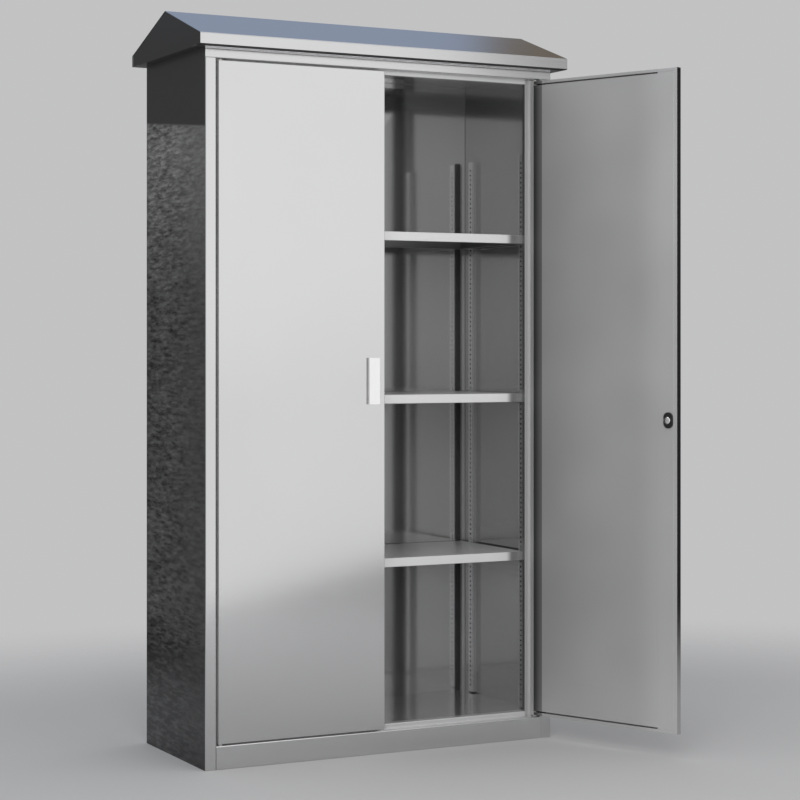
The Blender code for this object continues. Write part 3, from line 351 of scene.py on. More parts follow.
class Tree:
    """Node tree of a material, a modifier or the surroundings, filled in by code."""

    def __init__(self, tree):
        self.tree = tree

    def place(self, kind, options=None, inputs=None):
        """New node, with its settings set before its sockets are filled or linked."""
        made = self.tree.nodes.new(kind)
        for name, value in (options or {}).items():
            setattr(made, name, value)
        for name, value in (inputs or {}).items():
            found = name if isinstance(name, int) else self.index_of(made.inputs, name)
            if isinstance(value, Socket):
                self.tree.links.new(value.output, made.inputs[found])
            else:
                made.inputs[found].default_value = value
        return made

    def node(self, kind, options=None, inputs=None, output=0):
        made = self.place(kind, options, inputs)
        found = output if isinstance(output, int) else self.index_of(made.outputs, output)
        return Socket(self, made.outputs[found])

    @staticmethod
    def index_of(sockets, name):
        """Place of a socket by its identifier, which tells a Mix node's sockets apart, or by its name."""
        labels = [socket.identifier for socket in sockets]
        if name in labels:
            return labels.index(name)
        return [socket.name for socket in sockets].index(name)

    def parts(self, vector):
        """X, Y and Z of a vector."""
        made = self.place("ShaderNodeSeparateXYZ", inputs={"Vector": vector})
        return [Socket(self, output) for output in made.outputs]

    def mixed(self, factor, first, second):
        """One colour fading into another."""
        first, second = (item if isinstance(item, Socket) else (*item, 1) for item in (first, second))
        return self.node("ShaderNodeMix", {"data_type": "RGBA"},
                         {"Factor_Float": factor, "A_Color": first, "B_Color": second}, "Result_Color")

    def faded(self, value, begin, end):
        """Zero below one value, one above another, and smooth from the one to the other."""
        return self.node("ShaderNodeMapRange", {"interpolation_type": "SMOOTHSTEP"},
                         {"Value": value, "From Min": begin, "From Max": end}, "Result")


class Surface(Tree):
    """Material with one Principled shader."""

    def __init__(self, name, opened=False):
        self.material = bpy.data.materials.new(name)
        self.material.use_nodes = True
        super().__init__(self.material.node_tree)
        self.shader = self.tree.nodes["Principled BSDF"]
        self.spot = self.node("ShaderNodeTexCoord", output="Object")
        if opened:
            shut = Matrix.Rotation(-OPENING, 3, "Z")
            self.spot = self.node("ShaderNodeMapping", inputs={
                "Vector": self.spot,
                "Location": PIVOT - shut @ PIVOT,
                "Rotation": (0, 0, -OPENING),
            })

    def set(self, name, value):
        socket = self.shader.inputs[name]
        if isinstance(value, Socket):
            self.tree.links.new(value.output, socket)
        else:
            socket.default_value = value

    def finished(self, tint, roughness, metallic=0.0):
        """The material, once its main sockets are filled."""
        self.set("Base Color", tint)
        self.set("Roughness", roughness)
        self.set("Metallic", metallic)
        return self.material

    def noise(self, scale, detail, roughness=0.5):
        """Noise about zero, from roughly minus a half to a half, at one scale or one for each axis."""
        where = self.spot
        if isinstance(scale, tuple):
            where, scale = self.node("ShaderNodeMapping", inputs={"Vector": self.spot, "Scale": scale}), 1.0
        cloud = self.node("ShaderNodeTexNoise", inputs={
            "Vector": where,
            "Scale": scale,
            "Detail": detail,
            "Roughness": roughness,
        })
        return cloud - 0.5

    def shade(self, base, level):
        """Base colour, made lighter or darker by a level about one."""
        grey = self.node("ShaderNodeCombineColor", inputs={"Red": level, "Green": level, "Blue": level})
        return self.node("ShaderNodeMix", {"data_type": "RGBA", "blend_type": "MULTIPLY"},
                         {"Factor_Float": 1.0, "A_Color": (*base, 1), "B_Color": grey}, "Result_Color")

    def bump(self, height, distance, strength):
        self.set("Normal", self.node("ShaderNodeBump", inputs={
            "Height": height,
            "Distance": distance,
            "Strength": strength,
        }))


class Steel(Surface):
    """Satin sheet steel, softly clouded, with a faint grain and, if asked, brushed streaks."""

    def __init__(self, name, roughness, streaks=None, opened=False):
        super().__init__(name, opened)
        self.across, self.depth, self.height = self.parts(self.spot)
        self.cloud = self.noise(*CLOUDS)
        self.brushed = self.noise(streaks, *STREAK_DETAIL) if streaks else 0.0
        grain = self.noise(*GRAIN)
        self.polish = varied((roughness, *STEEL_ROUGHER), self.cloud, grain, self.brushed)
        self.bump(grain + self.brushed, *STEEL_RELIEF)

    def clouded(self, base, level=1.0, clouding=0.08):
        """The base colour with soft clouds, at a level about one."""
        return self.shade(base, (1.0 + self.cloud * clouding) * level)


def varied(levels, *patterns):
    """The first level, and added to it each pattern or mask times a level of its own."""
    total, *shares = levels
    for pattern, part in zip(patterns, shares):
        total = total + pattern * part
    return total


def plain_steel(name, base, roughness, metallic=1.0):
    surface = Steel(name, roughness)
    return surface.finished(surface.clouded(base), surface.polish, metallic)


def door_steel(name, opened):
    """Doors: satin outside, softly clouded inside with painted light towards the free edge, painted shade
    beside the hinges, and painted shade on the free edge's face.
    """
    finish = settings().finish
    surface = Steel(name, finish.steel_roughness, opened=opened)
    across, depth = abs(surface.across), surface.depth
    outside = depth < FRONT + NEAR
    edge = (across < DOOR_EDGE + NEAR) * (depth > FRONT + SHEET)
    # Painted shade in a band beside the hinges, darkest next to them
    hinge_shade = (across > HINGE_SHADE_BAND[0]) * (across < HINGE_SHADE_BAND[1])
    hinge_shade = hinge_shade * varied(HINGE_SHADE_DEPTH, surface.faded(across, *HINGE_SHADE_BAND))
    # Own clouds, and painted light that makes the inside lighter towards the free edge
    clouds, free = surface.noise(*DOOR_CLOUDS), surface.faded(across, *FREE_EDGE)
    dull = surface.shade(finish.liner, varied(LINER_SHADE, clouds, surface.cloud, free) * (1.0 - hinge_shade))
    # Painted shade on the free edge's face, lighter towards its foot
    foot = surface.faded(surface.height, *FREE_EDGE_FOOT)
    shaded = surface.shade(finish.steel, varied(FREE_EDGE_SHADE, foot))
    tint = surface.mixed(edge, surface.mixed(outside, dull, surface.clouded(finish.steel)), shaded)
    smoother = outside * (finish.steel_roughness - finish.liner_roughness)
    return surface.finished(tint, finish.liner_roughness + smoother + surface.cloud * STEEL_ROUGHER[0],
                            varied(DOOR_METAL, outside, edge))


def rail_steel():
    """Rails and roof: streaked, duller on the faces inside, with a painted shade line under the roof's
    front edge and a painted highlight on the header's top fold.
    """
    finish = settings().finish
    surface = Steel("rail_steel", finish.steel_roughness + RAIL_ROUGHER, STREAKS_ACROSS)
    depth, height = surface.depth, surface.height
    within = (depth > FRONT + SHEET) * (height < HEADER_TOP)
    # Painted shade under the roof's front edge, and a painted highlight on the header's top fold and the
    # soffit behind it
    eave_shade = (depth < EAVE_EDGE) * (height > HEADER_TOP) * (height < HEADER_TOP + SHEET * 2)
    bend_highlight = (depth > EAVE_EDGE) * (depth < FRONT + SHEET * 2)
    bend_highlight = bend_highlight * (height > HEADER_TOP - SHEET * 3) * (height < HEADER_TOP + SHEET)
    level = varied(RAIL_SHADE, surface.brushed) * varied(EAVE_SHADE_AND_BEND_HIGHLIGHT, eave_shade, bend_highlight)
    return surface.finished(surface.shade(finish.steel, level), surface.polish + eave_shade * EAVE_ROUGHER,
                            varied(RAIL_METAL, within))


def shelf_steel(name):
    """Shelves: duller than the doors, with painted shade underneath and a painted dark reflection of the
    hinge side at the lip's end.
    """
    finish = settings().finish
    low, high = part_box(name)
    surface = Steel(f"{name}_steel", finish.steel_roughness + SHELF_ROUGHER, STREAKS_ACROSS)
    # Painted shade under the shelf
    under = (surface.depth > low.y + SHEET * 1.5) * (surface.height < high.z - SHEET / 2)
    # Painted reflection: the lip's end darkened where it mirrors the hinge side
    lip_end_reflection = surface.faded(surface.across, *MIRRORED_HINGE) * (surface.depth < low.y + NEAR)
    lip_end_reflection = lip_end_reflection * surface.faded(surface.across, high.x, MIRRORED_HINGE[1])
    tint = surface.clouded(finish.shelf, varied(SHELF_SHADE, under, lip_end_reflection), clouding=0.12)
    return surface.finished(tint, surface.polish, SHELF_METAL)


def back_steel():
    """Back: a painted reflection makes it darker inside where it mirrors the doors, and painted shade
    darkens it behind the rear legs of the uprights.
    """
    finish = settings().finish
    surface = Steel("back_steel", finish.inside_roughness)
    across = abs(surface.across)
    # Painted shade on the back behind the rear legs of the uprights
    gap = (across > UPRIGHT_GAP[0]) * (across < UPRIGHT_GAP[1])
    gap = gap * (surface.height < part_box("rear_right_upright")[1].z)
    # Painted reflection on the inner face: darker where it mirrors the doors, lighter beyond where it
    # mirrors the jamb
    jamb_reflection = surface.faded(surface.across, *MIRRORED_JAMB)
    mirrored = varied(MIRRORED_SHADE, jamb_reflection) * varied(GAP_SHADE, gap)
    within = surface.depth < BACK_FACE + NEAR
    tint = surface.clouded(finish.back, 1.0 + within * (mirrored - 1.0))
    return surface.finished(tint, surface.polish, BACK_METAL)


def within_uprights(surface):
    """One inside the channels of the uprights and on the wall behind, which the slots look into, where
    painted shade goes.
    """
    covered = 0.0
    for name in ("front_right_upright", "rear_right_upright"):
        low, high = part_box(name)
        covered = covered + (surface.depth > low.y + SHEET / 2) * (surface.depth < high.y - SHEET / 2)
    return covered * (abs(surface.across) > low.x + SHEET / 2) * (surface.height < high.z - SHEET)


def side_steel():
    """Side panels: satin stile, pale jamb with painted light towards the side wall, dull inner wall with
    painted shade behind the uprights, and the left one's outer wall darkened as painted shade, with a
    painted shadow band at the top, painted light below it, painted shade at its foot and a painted mottled
    reflection.
    """
    finish = settings().finish
    surface = Steel("side_steel", finish.steel_roughness, STREAKS_UP)
    across, depth, height = abs(surface.across), surface.depth, surface.height
    wall = (surface.across < NEAR - HALF_WIDTH) * (depth > FRONT + SHEET * 2)
    inner = across < INNER_WALL + SHEET * 2
    inside = inner * (depth > FRONT + JAMB_DEPTH)
    jamb = inner * (depth < FRONT + JAMB_DEPTH) * (depth > FRONT + SHEET)

    # Painted light on the jamb, lighter towards the side wall
    turned = surface.faded(across, *JAMB_LIGHT_RAMP)
    pale = surface.shade(finish.liner, varied(JAMB_SHADE, turned, surface.cloud))
    front = surface.mixed(jamb, surface.clouded(finish.steel), pale)
    # Painted shade behind the uprights, where the slots look through
    upright_shade = surface.shade(finish.inside, varied(HIDDEN_SHADE, surface.cloud))
    dull = surface.mixed(within_uprights(surface), surface.clouded(finish.inside, clouding=0.10), upright_shade)

    # Left outer wall: a plain painted shadow band under the roof, painted light below it, painted shade at
    # the foot and a painted mottled reflection
    below = surface.faded(height - depth * WALL_BAND_SLOPE, *WALL_BAND)
    upper_glow = surface.faded(height, *WALL_GLOW) * below
    foot = surface.faded(height, *WALL_FOOT)
    mottled_reflection = surface.noise(MOTTLE, *STREAK_DETAIL) * below
    mottled_reflection = mottled_reflection * varied(MOTTLE_SHADE, surface.faded(depth, *MOTTLE_START))
    level = varied(WALL_SHADE, below, upper_glow) * varied(WALL_FOOT_SHADE, foot)
    contrast = varied(MOTTLE_CONTRAST, upper_glow) * varied(MOTTLE_FOOT, foot)
    dark = surface.shade(finish.wall, level + mottled_reflection * contrast)

    smoother = inside * (finish.inside_roughness - finish.steel_roughness)
    return surface.finished(
        surface.mixed(wall, surface.mixed(inside, front, dull), dark),
        varied((finish.steel_roughness, *SIDE_ROUGHER), jamb, wall, mottled_reflection) + smoother,
        varied(SIDE_METAL, jamb, inside, wall),
    )


def upright_steel():
    """Uprights and base members: painted shade inside the channels."""
    finish = settings().finish
    surface = Steel("upright_steel", finish.steel_roughness, UPRIGHT_STREAKS)
    tint = surface.clouded(finish.upright, varied(CHANNEL_SHADE, within_uprights(surface)), clouding=0.12)
    return surface.finished(tint, surface.polish, UPRIGHT_METAL)


def zinc_plate():
    """Zinc plating with a fine spangle."""
    surface = Surface("zinc_plate")
    spangle = surface.node("ShaderNodeTexVoronoi", {"feature": "F1"},
                           {"Vector": surface.spot, "Scale": SPANGLE_SCALE}, "Distance")
    haze = surface.noise(*ZINC_HAZE)
    surface.bump(spangle, *ZINC_RELIEF)
    return surface.finished(surface.shade(settings().finish.zinc, varied(ZINC_SHADE, spangle, haze)),
                            varied(ZINC_ROUGHNESS, spangle, haze), metallic=1.0)


def pull_paint():
    """Near-white powder paint with a faint orange peel."""
    surface = Surface("pull_paint")
    peel = surface.noise(*PAINT_PEEL)
    haze = surface.noise(*PAINT_HAZE)
    surface.set("Coat Weight", 0.2)
    surface.bump(peel, *PAINT_RELIEF)
    return surface.finished(surface.shade(settings().finish.pull, varied(PAINT_SHADE, haze)),
                            varied(PAINT_ROUGHNESS, peel, haze))


def black_moulding():
    """Black moulded plastic with a fine spark texture."""
    surface = Surface("black_moulding")
    spark = surface.noise(*PLASTIC_SPARK)
    haze = surface.noise(*PLASTIC_HAZE)
    surface.bump(spark, *PLASTIC_RELIEF)
    return surface.finished(surface.shade(settings().finish.cover, varied(PLASTIC_SHADE, haze)),
                            varied(PLASTIC_ROUGHNESS, spark, haze))


def nylon_moulding():
    surface = Surface("nylon_moulding")
    haze = surface.noise(*NYLON_HAZE)
    surface.bump(haze, *NYLON_RELIEF)
    return surface.finished(surface.shade(settings().finish.nylon, varied(NYLON_SHADE, haze)),
                            varied(NYLON_ROUGHNESS, haze))


def lock_chrome():
    """Chrome with the faint turning marks and haze of a handled lock."""
    surface = Surface("lock_chrome")
    haze = surface.noise(*CHROME_HAZE)
    surface.bump(haze, *CHROME_RELIEF)
    return surface.finished(surface.shade(settings().finish.chrome, varied(CHROME_SHADE, haze)),
                            varied(CHROME_ROUGHNESS, haze), metallic=1.0)


def floor_finish():
    """Matt pale floor that fades into the ground behind the cabinet."""
    surface = Surface("floor_finish")
    haze = surface.noise(*FLOOR_HAZE)
    away = surface.node("ShaderNodeVectorMath", {"operation": "DISTANCE"},
                        {0: surface.spot, 1: (*FLOOR_CENTRE, 0)}, "Value")
    surface.set("Alpha", 1.0 - surface.faded(away, *FLOOR_FADE))
    return surface.finished(surface.shade(settings().stage.floor, varied(FLOOR_SHADE, haze)),
                            varied(FLOOR_ROUGHNESS, haze))


# Shapes

def fold_outline(path, sheet):
    """Closed outline of a folded sheet whose middle line is the path."""
    points = [Vector(point) for point in path]
    half = sheet / 2

    def normal(start, end):
        direction = (end - start).normalized()
        return Vector((-direction.y, direction.x))

    first, last = normal(points[0], points[1]) * half, normal(points[-2], points[-1]) * half
    lefts, rights = [points[0] + first], [points[0] - first]
    for before, corner, after in zip(points, points[1:], points[2:]):
        into, out = (corner - before).normalized(), (after - corner).normalized()
        turn = math.atan2(into.x * out.y - into.y * out.x, into.dot(out))
        side = math.copysign(1, turn)
        centre = corner - into * BEND_RADIUS * math.tan(abs(turn) / 2)
        centre += normal(before, corner) * BEND_RADIUS * side
        for step in range(BEND_STEPS + 1):
            spoke = Matrix.Rotation(turn * step / BEND_STEPS, 2) @ (normal(before, corner) * -side)
            lefts.append(centre + spoke * (BEND_RADIUS - side * half))
            rights.append(centre + spoke * (BEND_RADIUS + side * half))
    lefts.append(points[-1] + last)
    rights.append(points[-1] - last)
    return lefts + rights[::-1]


def circle(radius, sides, centre=(0, 0)):
    """Points round a circle."""
    turns = [2 * math.pi * step / sides for step in range(sides)]
    return [(centre[0] + radius * math.cos(turn), centre[1] + radius * math.sin(turn)) for turn in turns]


def mesh_from(shape, name, material=None, outward=True):
    """The shape as a mesh, with its faces turned outward."""
    if outward:
        bmesh.ops.recalc_face_normals(shape, faces=shape.faces)
    mesh = bpy.data.meshes.new(name)
    shape.to_mesh(mesh)
    shape.free()
    if material:
        mesh.materials.append(material)
    return mesh


def scaled(outline, radius, rise):
    """An outline in parts of a radius and a rise, at its real size."""
    return [(radius * out, rise * up) for out, up in outline]


def turned_head(profile, sides):
    """Closed solid of revolution about Y; the profile of radius and depth starts and ends on the axis."""
    shape = bmesh.new()
    rings = []
    for radius, depth in profile:
        if radius == 0:
            rings.append([shape.verts.new((0, depth, 0))] * sides)
        else:
            rings.append([shape.verts.new((x, depth, z)) for x, z in circle(radius, sides)])
    for ring, following in zip(rings, rings[1:]):
        for index in range(sides):
            beside = (index + 1) % sides
            corners = (ring[index], ring[beside], following[beside], following[index])
            shape.faces.new(list(dict.fromkeys(corners)))
    return mesh_from(shape, "head")


def new_piece(name, mesh, body, slot, *replaced):
    """Object at the origin that rides on a body and stands for the nodes it replaces."""
    piece = bpy.data.objects.new(name, mesh)
    bpy.context.scene.collection.objects.link(piece)
    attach(piece, body)
    if replaced:
        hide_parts(*replaced)
    return piece


def copy_of_node(name):
    """Node's mesh as a shape whose loose triangles are joined into one skin."""
    shape = bmesh.new()
    shape.from_mesh(NODES[name].data)
    bmesh.ops.remove_doubles(shape, verts=shape.verts, dist=MERGE_DISTANCE)
    bmesh.ops.dissolve_limit(shape, angle_limit=FLAT_ANGLE, verts=shape.verts, edges=shape.edges)
    return shape


def modified_mesh(name, mesh, kind, options, inputs=None):
    """What a modifier makes of a mesh; a Geometry Nodes modifier's inputs go by identifier."""
    holder = bpy.data.objects.new(name, mesh)
    bpy.context.scene.collection.objects.link(holder)
    modifier = holder.modifiers.new(name, kind)
    for option, value in options.items():
        setattr(modifier, option, value)
    for identifier, value in (inputs or {}).items():
        modifier[identifier] = value
    depsgraph = bpy.context.evaluated_depsgraph_get()
    finished = bpy.data.meshes.new_from_object(holder.evaluated_get(depsgraph))
    finished.name = name
    bpy.data.objects.remove(holder)
    return finished


def rounded_mesh(name, mesh, width):
    """The mesh with its sharp edges rounded off."""
    return modified_mesh(name, mesh, "BEVEL", {
        "width": width,
        "segments": EDGE_STEPS,
        "limit_method": "ANGLE",
        "harden_normals": False,
    })


def grown_mesh(name, mesh, group, values):
    """What a Geometry Nodes group makes of a mesh, with the group's inputs set by name."""
    sockets = {item.name: item.identifier for item in group.interface.items_tree
               if item.item_type == "SOCKET" and item.in_out == "INPUT"}
    inputs = {sockets[label]: value for label, value in values.items()}
    return modified_mesh(name, mesh, "NODES", {"node_group": group}, inputs)


def opened_door():
    """Turns the lock door's closed place into the open one that the CAD model shows."""
    return Matrix.Translation(PIVOT) @ Matrix.Rotation(OPENING, 4, "Z") @ Matrix.Translation(-PIVOT)


def new_group(name, **inputs):
    """Empty Geometry Nodes group, with the sockets of its inputs by name."""
    group = bpy.data.node_groups.new(name, "GeometryNodeTree")
    group.interface.new_socket("Geometry", in_out="OUTPUT", socket_type="NodeSocketGeometry")
    for label, kind in inputs.items():
        group.interface.new_socket(label.replace("_", " "), in_out="INPUT", socket_type=f"NodeSocket{kind}")
    tree = Tree(group)
    outputs = tree.place("NodeGroupInput").outputs
    return group, tree, {label: Socket(tree, outputs[label.replace("_", " ")]) for label in inputs}


def finish_group(group, tree, shape, material):
    """Ends a group in plain geometry of one material."""
    whole = tree.node("GeometryNodeRealizeInstances", inputs={"Geometry": shape})
    painted = tree.node("GeometryNodeSetMaterial", inputs={"Geometry": whole, "Material": material})
    result = tree.place("NodeGroupOutput")
    group.links.new(painted.output, result.inputs["Geometry"])
    return group


def fastener_row_group():
    """Sets one fastener head on each point of a straight row."""
    group, tree, given = new_group("fastener_row", Head="Geometry", First="Vector", Step="Vector",
                                   Count="Int", Material="Material")
    row = tree.node("GeometryNodeMeshLine", {"mode": "OFFSET"},
                    {"Count": given["Count"], "Start Location": given["First"], "Offset": given["Step"]})
    heads = tree.node("GeometryNodeInstanceOnPoints", inputs={"Points": row, "Instance": given["Head"]})
    return finish_group(group, tree, heads, given["Material"])


def dress(material, *names):
    for name in names:
        mesh = NODES[name].data
        mesh.materials.clear()
        mesh.materials.append(material)


# Operators

class CABINET_OT_stage(bpy.types.Operator):
    """Floor, surroundings, lights and camera"""

    bl_idname = "cabinet.stage"
    bl_label = "Stage"

    def execute(self, context):
        self.floor()
        self.surroundings()
        stage = settings().stage
        middle = LIGHT_FOOT + LIGHT_ALONG * (LIGHT_BEGIN + LIGHT_END) / 2 + Vector((0, 0, LIGHT_RISE / 2))
        towards = Vector((-LIGHT_ALONG.y, LIGHT_ALONG.x, 0))
        self.light("front_light", middle, towards, (LIGHT_END - LIGHT_BEGIN, LIGHT_RISE), stage.front_level)
        self.light("top_light", TOP_PLACE, Vector((0, 0, -1)), TOP_SIZE, stage.top_level)
        fill = self.light("fill_light", FILL_PLACE, FILL_AIM - FILL_PLACE, FILL_SIZE, stage.fill_level)
        fill.visible_glossy = False
        self.camera()
        context.scene.view_settings.view_transform = "Standard"
        return {"FINISHED"}

    @staticmethod
    def floor():
        shape = bmesh.new()
        rim = circle(FLOOR_FADE[1], FLOOR_SIDES, FLOOR_CENTRE)
        shape.faces.new([shape.verts.new((x, y, 0)) for x, y in rim])
        mesh = mesh_from(shape, "floor", floor_finish())
        floor = bpy.data.objects.new("floor", mesh)
        bpy.context.scene.collection.objects.link(floor)

    @staticmethod
    def surroundings():
        """Even pale ground for the camera; for the steel, light ahead and above, dark low down behind."""
        stage = settings().stage
        world = bpy.data.worlds.new("pale_surroundings")
        world.use_nodes = True
        tree = Tree(world.node_tree)
        across, depth, height = tree.parts(tree.node("ShaderNodeTexCoord", output="Generated"))
        above = tree.mixed(tree.faded(across, *ABOVE_TO_ASIDE), stage.above, stage.aside)
        behind = tree.mixed(tree.faded(height, *BEHIND_TO_ABOVE), stage.behind, above)
        behind = tree.mixed(tree.faded(height, *ABOVE_TO_AHEAD), behind, stage.ahead)
        ahead = tree.mixed(tree.faded(height, *GROUND_TO_AHEAD), stage.ground, stage.ahead)
        around = tree.mixed(tree.faded(depth, *AHEAD_TO_BEHIND), ahead, behind)
        seen = tree.mixed(tree.node("ShaderNodeLightPath", output="Is Camera Ray"), around, stage.backdrop)
        world.node_tree.links.new(seen.output, world.node_tree.nodes["Background"].inputs["Color"])
        bpy.context.scene.world = world

    @staticmethod
    def light(name, place, towards, size, level):
        lamp = bpy.data.lights.new(name, "AREA")
        lamp.shape = "RECTANGLE"
        lamp.size, lamp.size_y = size
        lamp.energy = level * math.pi * size[0] * size[1]
        holder = bpy.data.objects.new(name, lamp)
        bpy.context.scene.collection.objects.link(holder)
        holder.location = place
        holder.rotation_euler = towards.to_track_quat("-Z", "Y").to_euler()
        holder.visible_camera = False
        return holder

    @staticmethod
    def camera():
        lens = bpy.data.cameras.new("photo_camera")
        lens.sensor_width = SENSOR_WIDTH
        lens.lens = FOCAL_PIXELS * SENSOR_WIDTH / IMAGE_SIZE
        lens.shift_y = (HORIZON_ROW - IMAGE_SIZE / 2) / IMAGE_SIZE
        holder = bpy.data.objects.new("photo_camera", lens)
        bpy.context.scene.collection.objects.link(holder)
        holder.location = CAMERA_PLACE
        holder.rotation_euler = (math.pi / 2, 0, CAMERA_HEADING)
        bpy.context.scene.camera = holder


class CABINET_OT_steelwork(bpy.types.Operator):
    """Finish of the carcass, the roof, the doors and the shelves"""

    bl_idname = "cabinet.steelwork"
    bl_label = "Steelwork"

    def execute(self, context):
        finish = settings().finish
        dress(side_steel(), "left_side_panel", "right_side_panel")
        dress(rail_steel(), "header_rail", "plinth_rail", "roof_cover")
        # The gables take the outer walls' darkened colour, a painted shade
        dress(plain_steel("gable_steel", finish.wall, finish.steel_roughness),
              "left_roof_gable", "right_roof_gable")
        for name in ("lower_shelf", "middle_shelf", "upper_shelf"):
            dress(shelf_steel(name), name)
        dress(back_steel(), "back_panel")
        dress(plain_steel("inner_steel", finish.back, finish.inside_roughness, BACK_METAL),
              "top_panel", "floor_panel")
        dress(upright_steel(), "rear_base_rail", "base_brace")
        for side, opened in (("left", False), ("right", True)):
            steel = door_steel(f"{side}_door_steel", opened)
            dress(steel, *[f"{side}_door_{part}" for part in ("shell", "liner", "edge_stile")])
            self.seam(side, opened, steel)
        return {"FINISHED"}

    @staticmethod
    def seam(side, opened, steel):
        """Weld along the joint of a door's liner and edge stile, dressed flush with both."""
        low, high = (corner.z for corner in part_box("left_door_liner"))
        place = Matrix.Translation((-DOOR_SEAM if opened else DOOR_SEAM, DOOR_BACK, 0))
        if opened:
            place = opened_door() @ place
        wide, crown = SEAM_HALF_WIDTH, SEAM_CROWN
        outline = [(-wide, -crown), (-wide / 2, 0), (wide / 2, 0), (wide, -crown),
                   (wide / 4, -wide), (-wide / 4, -wide)]
        shape = bmesh.new()
        foot, head = ([shape.verts.new(place @ Vector((x, y, z))) for x, y in outline] for z in (low, high))
        shape.faces.new(foot)
        shape.faces.new(head)
        for index, corner in enumerate(foot):
            beside = (index + 1) % len(foot)
            shape.faces.new((corner, foot[beside], head[beside], head[index]))
        name = f"{side}_door_seam"
        new_piece(name, mesh_from(shape, name, steel), f"{side}_door", "satin_steel")


class CABINET_OT_fittings(bpy.types.Operator):
    """Finish of the pins, bushes, clips, bolts, rods and guides"""

    bl_idname = "cabinet.fittings"
    bl_label = "Small fittings"

    def execute(self, context):
        zinc = [name for name in NODES if name.endswith(("_clip", "_pivot_pin", "_bolt", "_lock_rod"))]
        dress(zinc_plate(), "lock_driver", *zinc)
        dress(nylon_moulding(), *[name for name in NODES if name.endswith(("_bush", "_guide"))])
        return {"FINISHED"}


class CABINET_OT_uprights(bpy.types.Operator):
    """Four folded uprights with closely spaced slots"""

    bl_idname = "cabinet.uprights"
    bl_label = "Slotted uprights"

    def execute(self, context):
        material = upright_steel()
        group = self.slotted_group()
        for place in ("front", "rear"):
            for side_name, side in (("left", -1), ("right", 1)):
                self.build(f"{place}_{side_name}_upright", side, group, material)
        return {"FINISHED"}

    @staticmethod
    def slotted_group():
        """Extrudes a flat section upwards and cuts a column of slots through it."""
        group, tree, given = new_group(
            "slotted_upright", Section="Geometry", Height="Float", Slot_Pitch="Float", Slot_Size="Vector",
            First_Slot="Vector", Slots="Int", Material="Material")
        rise = tree.node("ShaderNodeCombineXYZ", inputs={"Z": given["Height"]})
        raised = tree.node("GeometryNodeExtrudeMesh", {"mode": "FACES"}, {
            "Mesh": given["Section"],
            "Offset": rise,
            "Offset Scale": 1.0,
            "Individual": False,
        })
        foot = tree.node("GeometryNodeFlipFaces", inputs={"Mesh": given["Section"]})
        joined = tree.place("GeometryNodeJoinGeometry")
        group.links.new(raised.output, joined.inputs[0])
        group.links.new(foot.output, joined.inputs[0])
        closed = tree.node("GeometryNodeMergeByDistance",
                           inputs={"Geometry": Socket(tree, joined.outputs[0]),
                                   "Distance": MERGE_DISTANCE})
        step = tree.node("ShaderNodeCombineXYZ", inputs={"Z": given["Slot_Pitch"]})
        column = tree.node("GeometryNodeMeshLine", {"mode": "OFFSET"},
                           {"Count": given["Slots"], "Start Location": given["First_Slot"], "Offset": step})
        slot = tree.node("GeometryNodeMeshCube", inputs={"Size": given["Slot_Size"]})
        slots = tree.node("GeometryNodeInstanceOnPoints", inputs={"Points": column, "Instance": slot})
        cutters = tree.node("GeometryNodeRealizeInstances", inputs={"Geometry": slots})
        cut = tree.node("GeometryNodeMeshBoolean", {"operation": "DIFFERENCE", "solver": "EXACT"},
                        {"Mesh 1": closed, "Mesh 2": cutters})
        return finish_group(group, tree, cut, given["Material"])

    def build(self, name, side, group, material):
        low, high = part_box(name)
        half = SHEET / 2
        inner, outer = sorted((abs(low.x), abs(high.x)))
        front, rear = low.y, high.y
        web = inner + half
        path = [(outer, front + half), (web, front + half), (web, rear - half), (outer, rear - half)]
        shape = bmesh.new()
        outline = fold_outline([(side * x, y) for x, y in path], SHEET)
        section = shape.faces.new([shape.verts.new((x, y, low.z)) for x, y in outline])
        section.normal_update()
        if section.normal.z < 0:
            section.normal_flip()
        mesh = mesh_from(shape, name, outward=False)
        values = self.slots(side * inner, (front + rear) / 2, low.z, high.z)
        values.update({"Height": high.z - low.z, "Material": material})
        finished = grown_mesh(f"slotted_{name}", mesh, group, values)
        new_piece(f"slotted_{name}", finished, "carcass", "upright_steel", name)

    @staticmethod
    def slots(x, y, low, high):
        """Slots on a pitch that puts one at each clip's tongue."""
        given = settings().uprights
        tops = [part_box(f"{level}_shelf")[1].z for level in ("lower", "middle")]
        pitch = (tops[1] - tops[0]) / given.slots_per_bay
        first = tops[0] + CLIP_RISE
        below = math.floor((first - low - given.end_margin) / pitch)
        above = math.floor((high - given.end_margin - first) / pitch)
        return {
            "Slot Pitch": pitch,
            "Slot Size": (SHEET * 4, given.slot_width, given.slot_height),
            "First Slot": (x, y, first - below * pitch),
            "Slots": below + above + 1,
        }


class CABINET_OT_pulls(bpy.types.Operator):
    """Painted pulls with eased edges"""

    bl_idname = "cabinet.pulls"
    bl_label = "Pulls"

    def execute(self, context):
        material = pull_paint()
        for side in ("left", "right"):
            node, name = f"{side}_door_pull", f"painted_{side}_pull"
            mesh = rounded_mesh(name, mesh_from(copy_of_node(node), node, material), PULL_EDGE)
            new_piece(name, mesh, f"{side}_door", "pale_pull_finish", node)
        return {"FINISHED"}


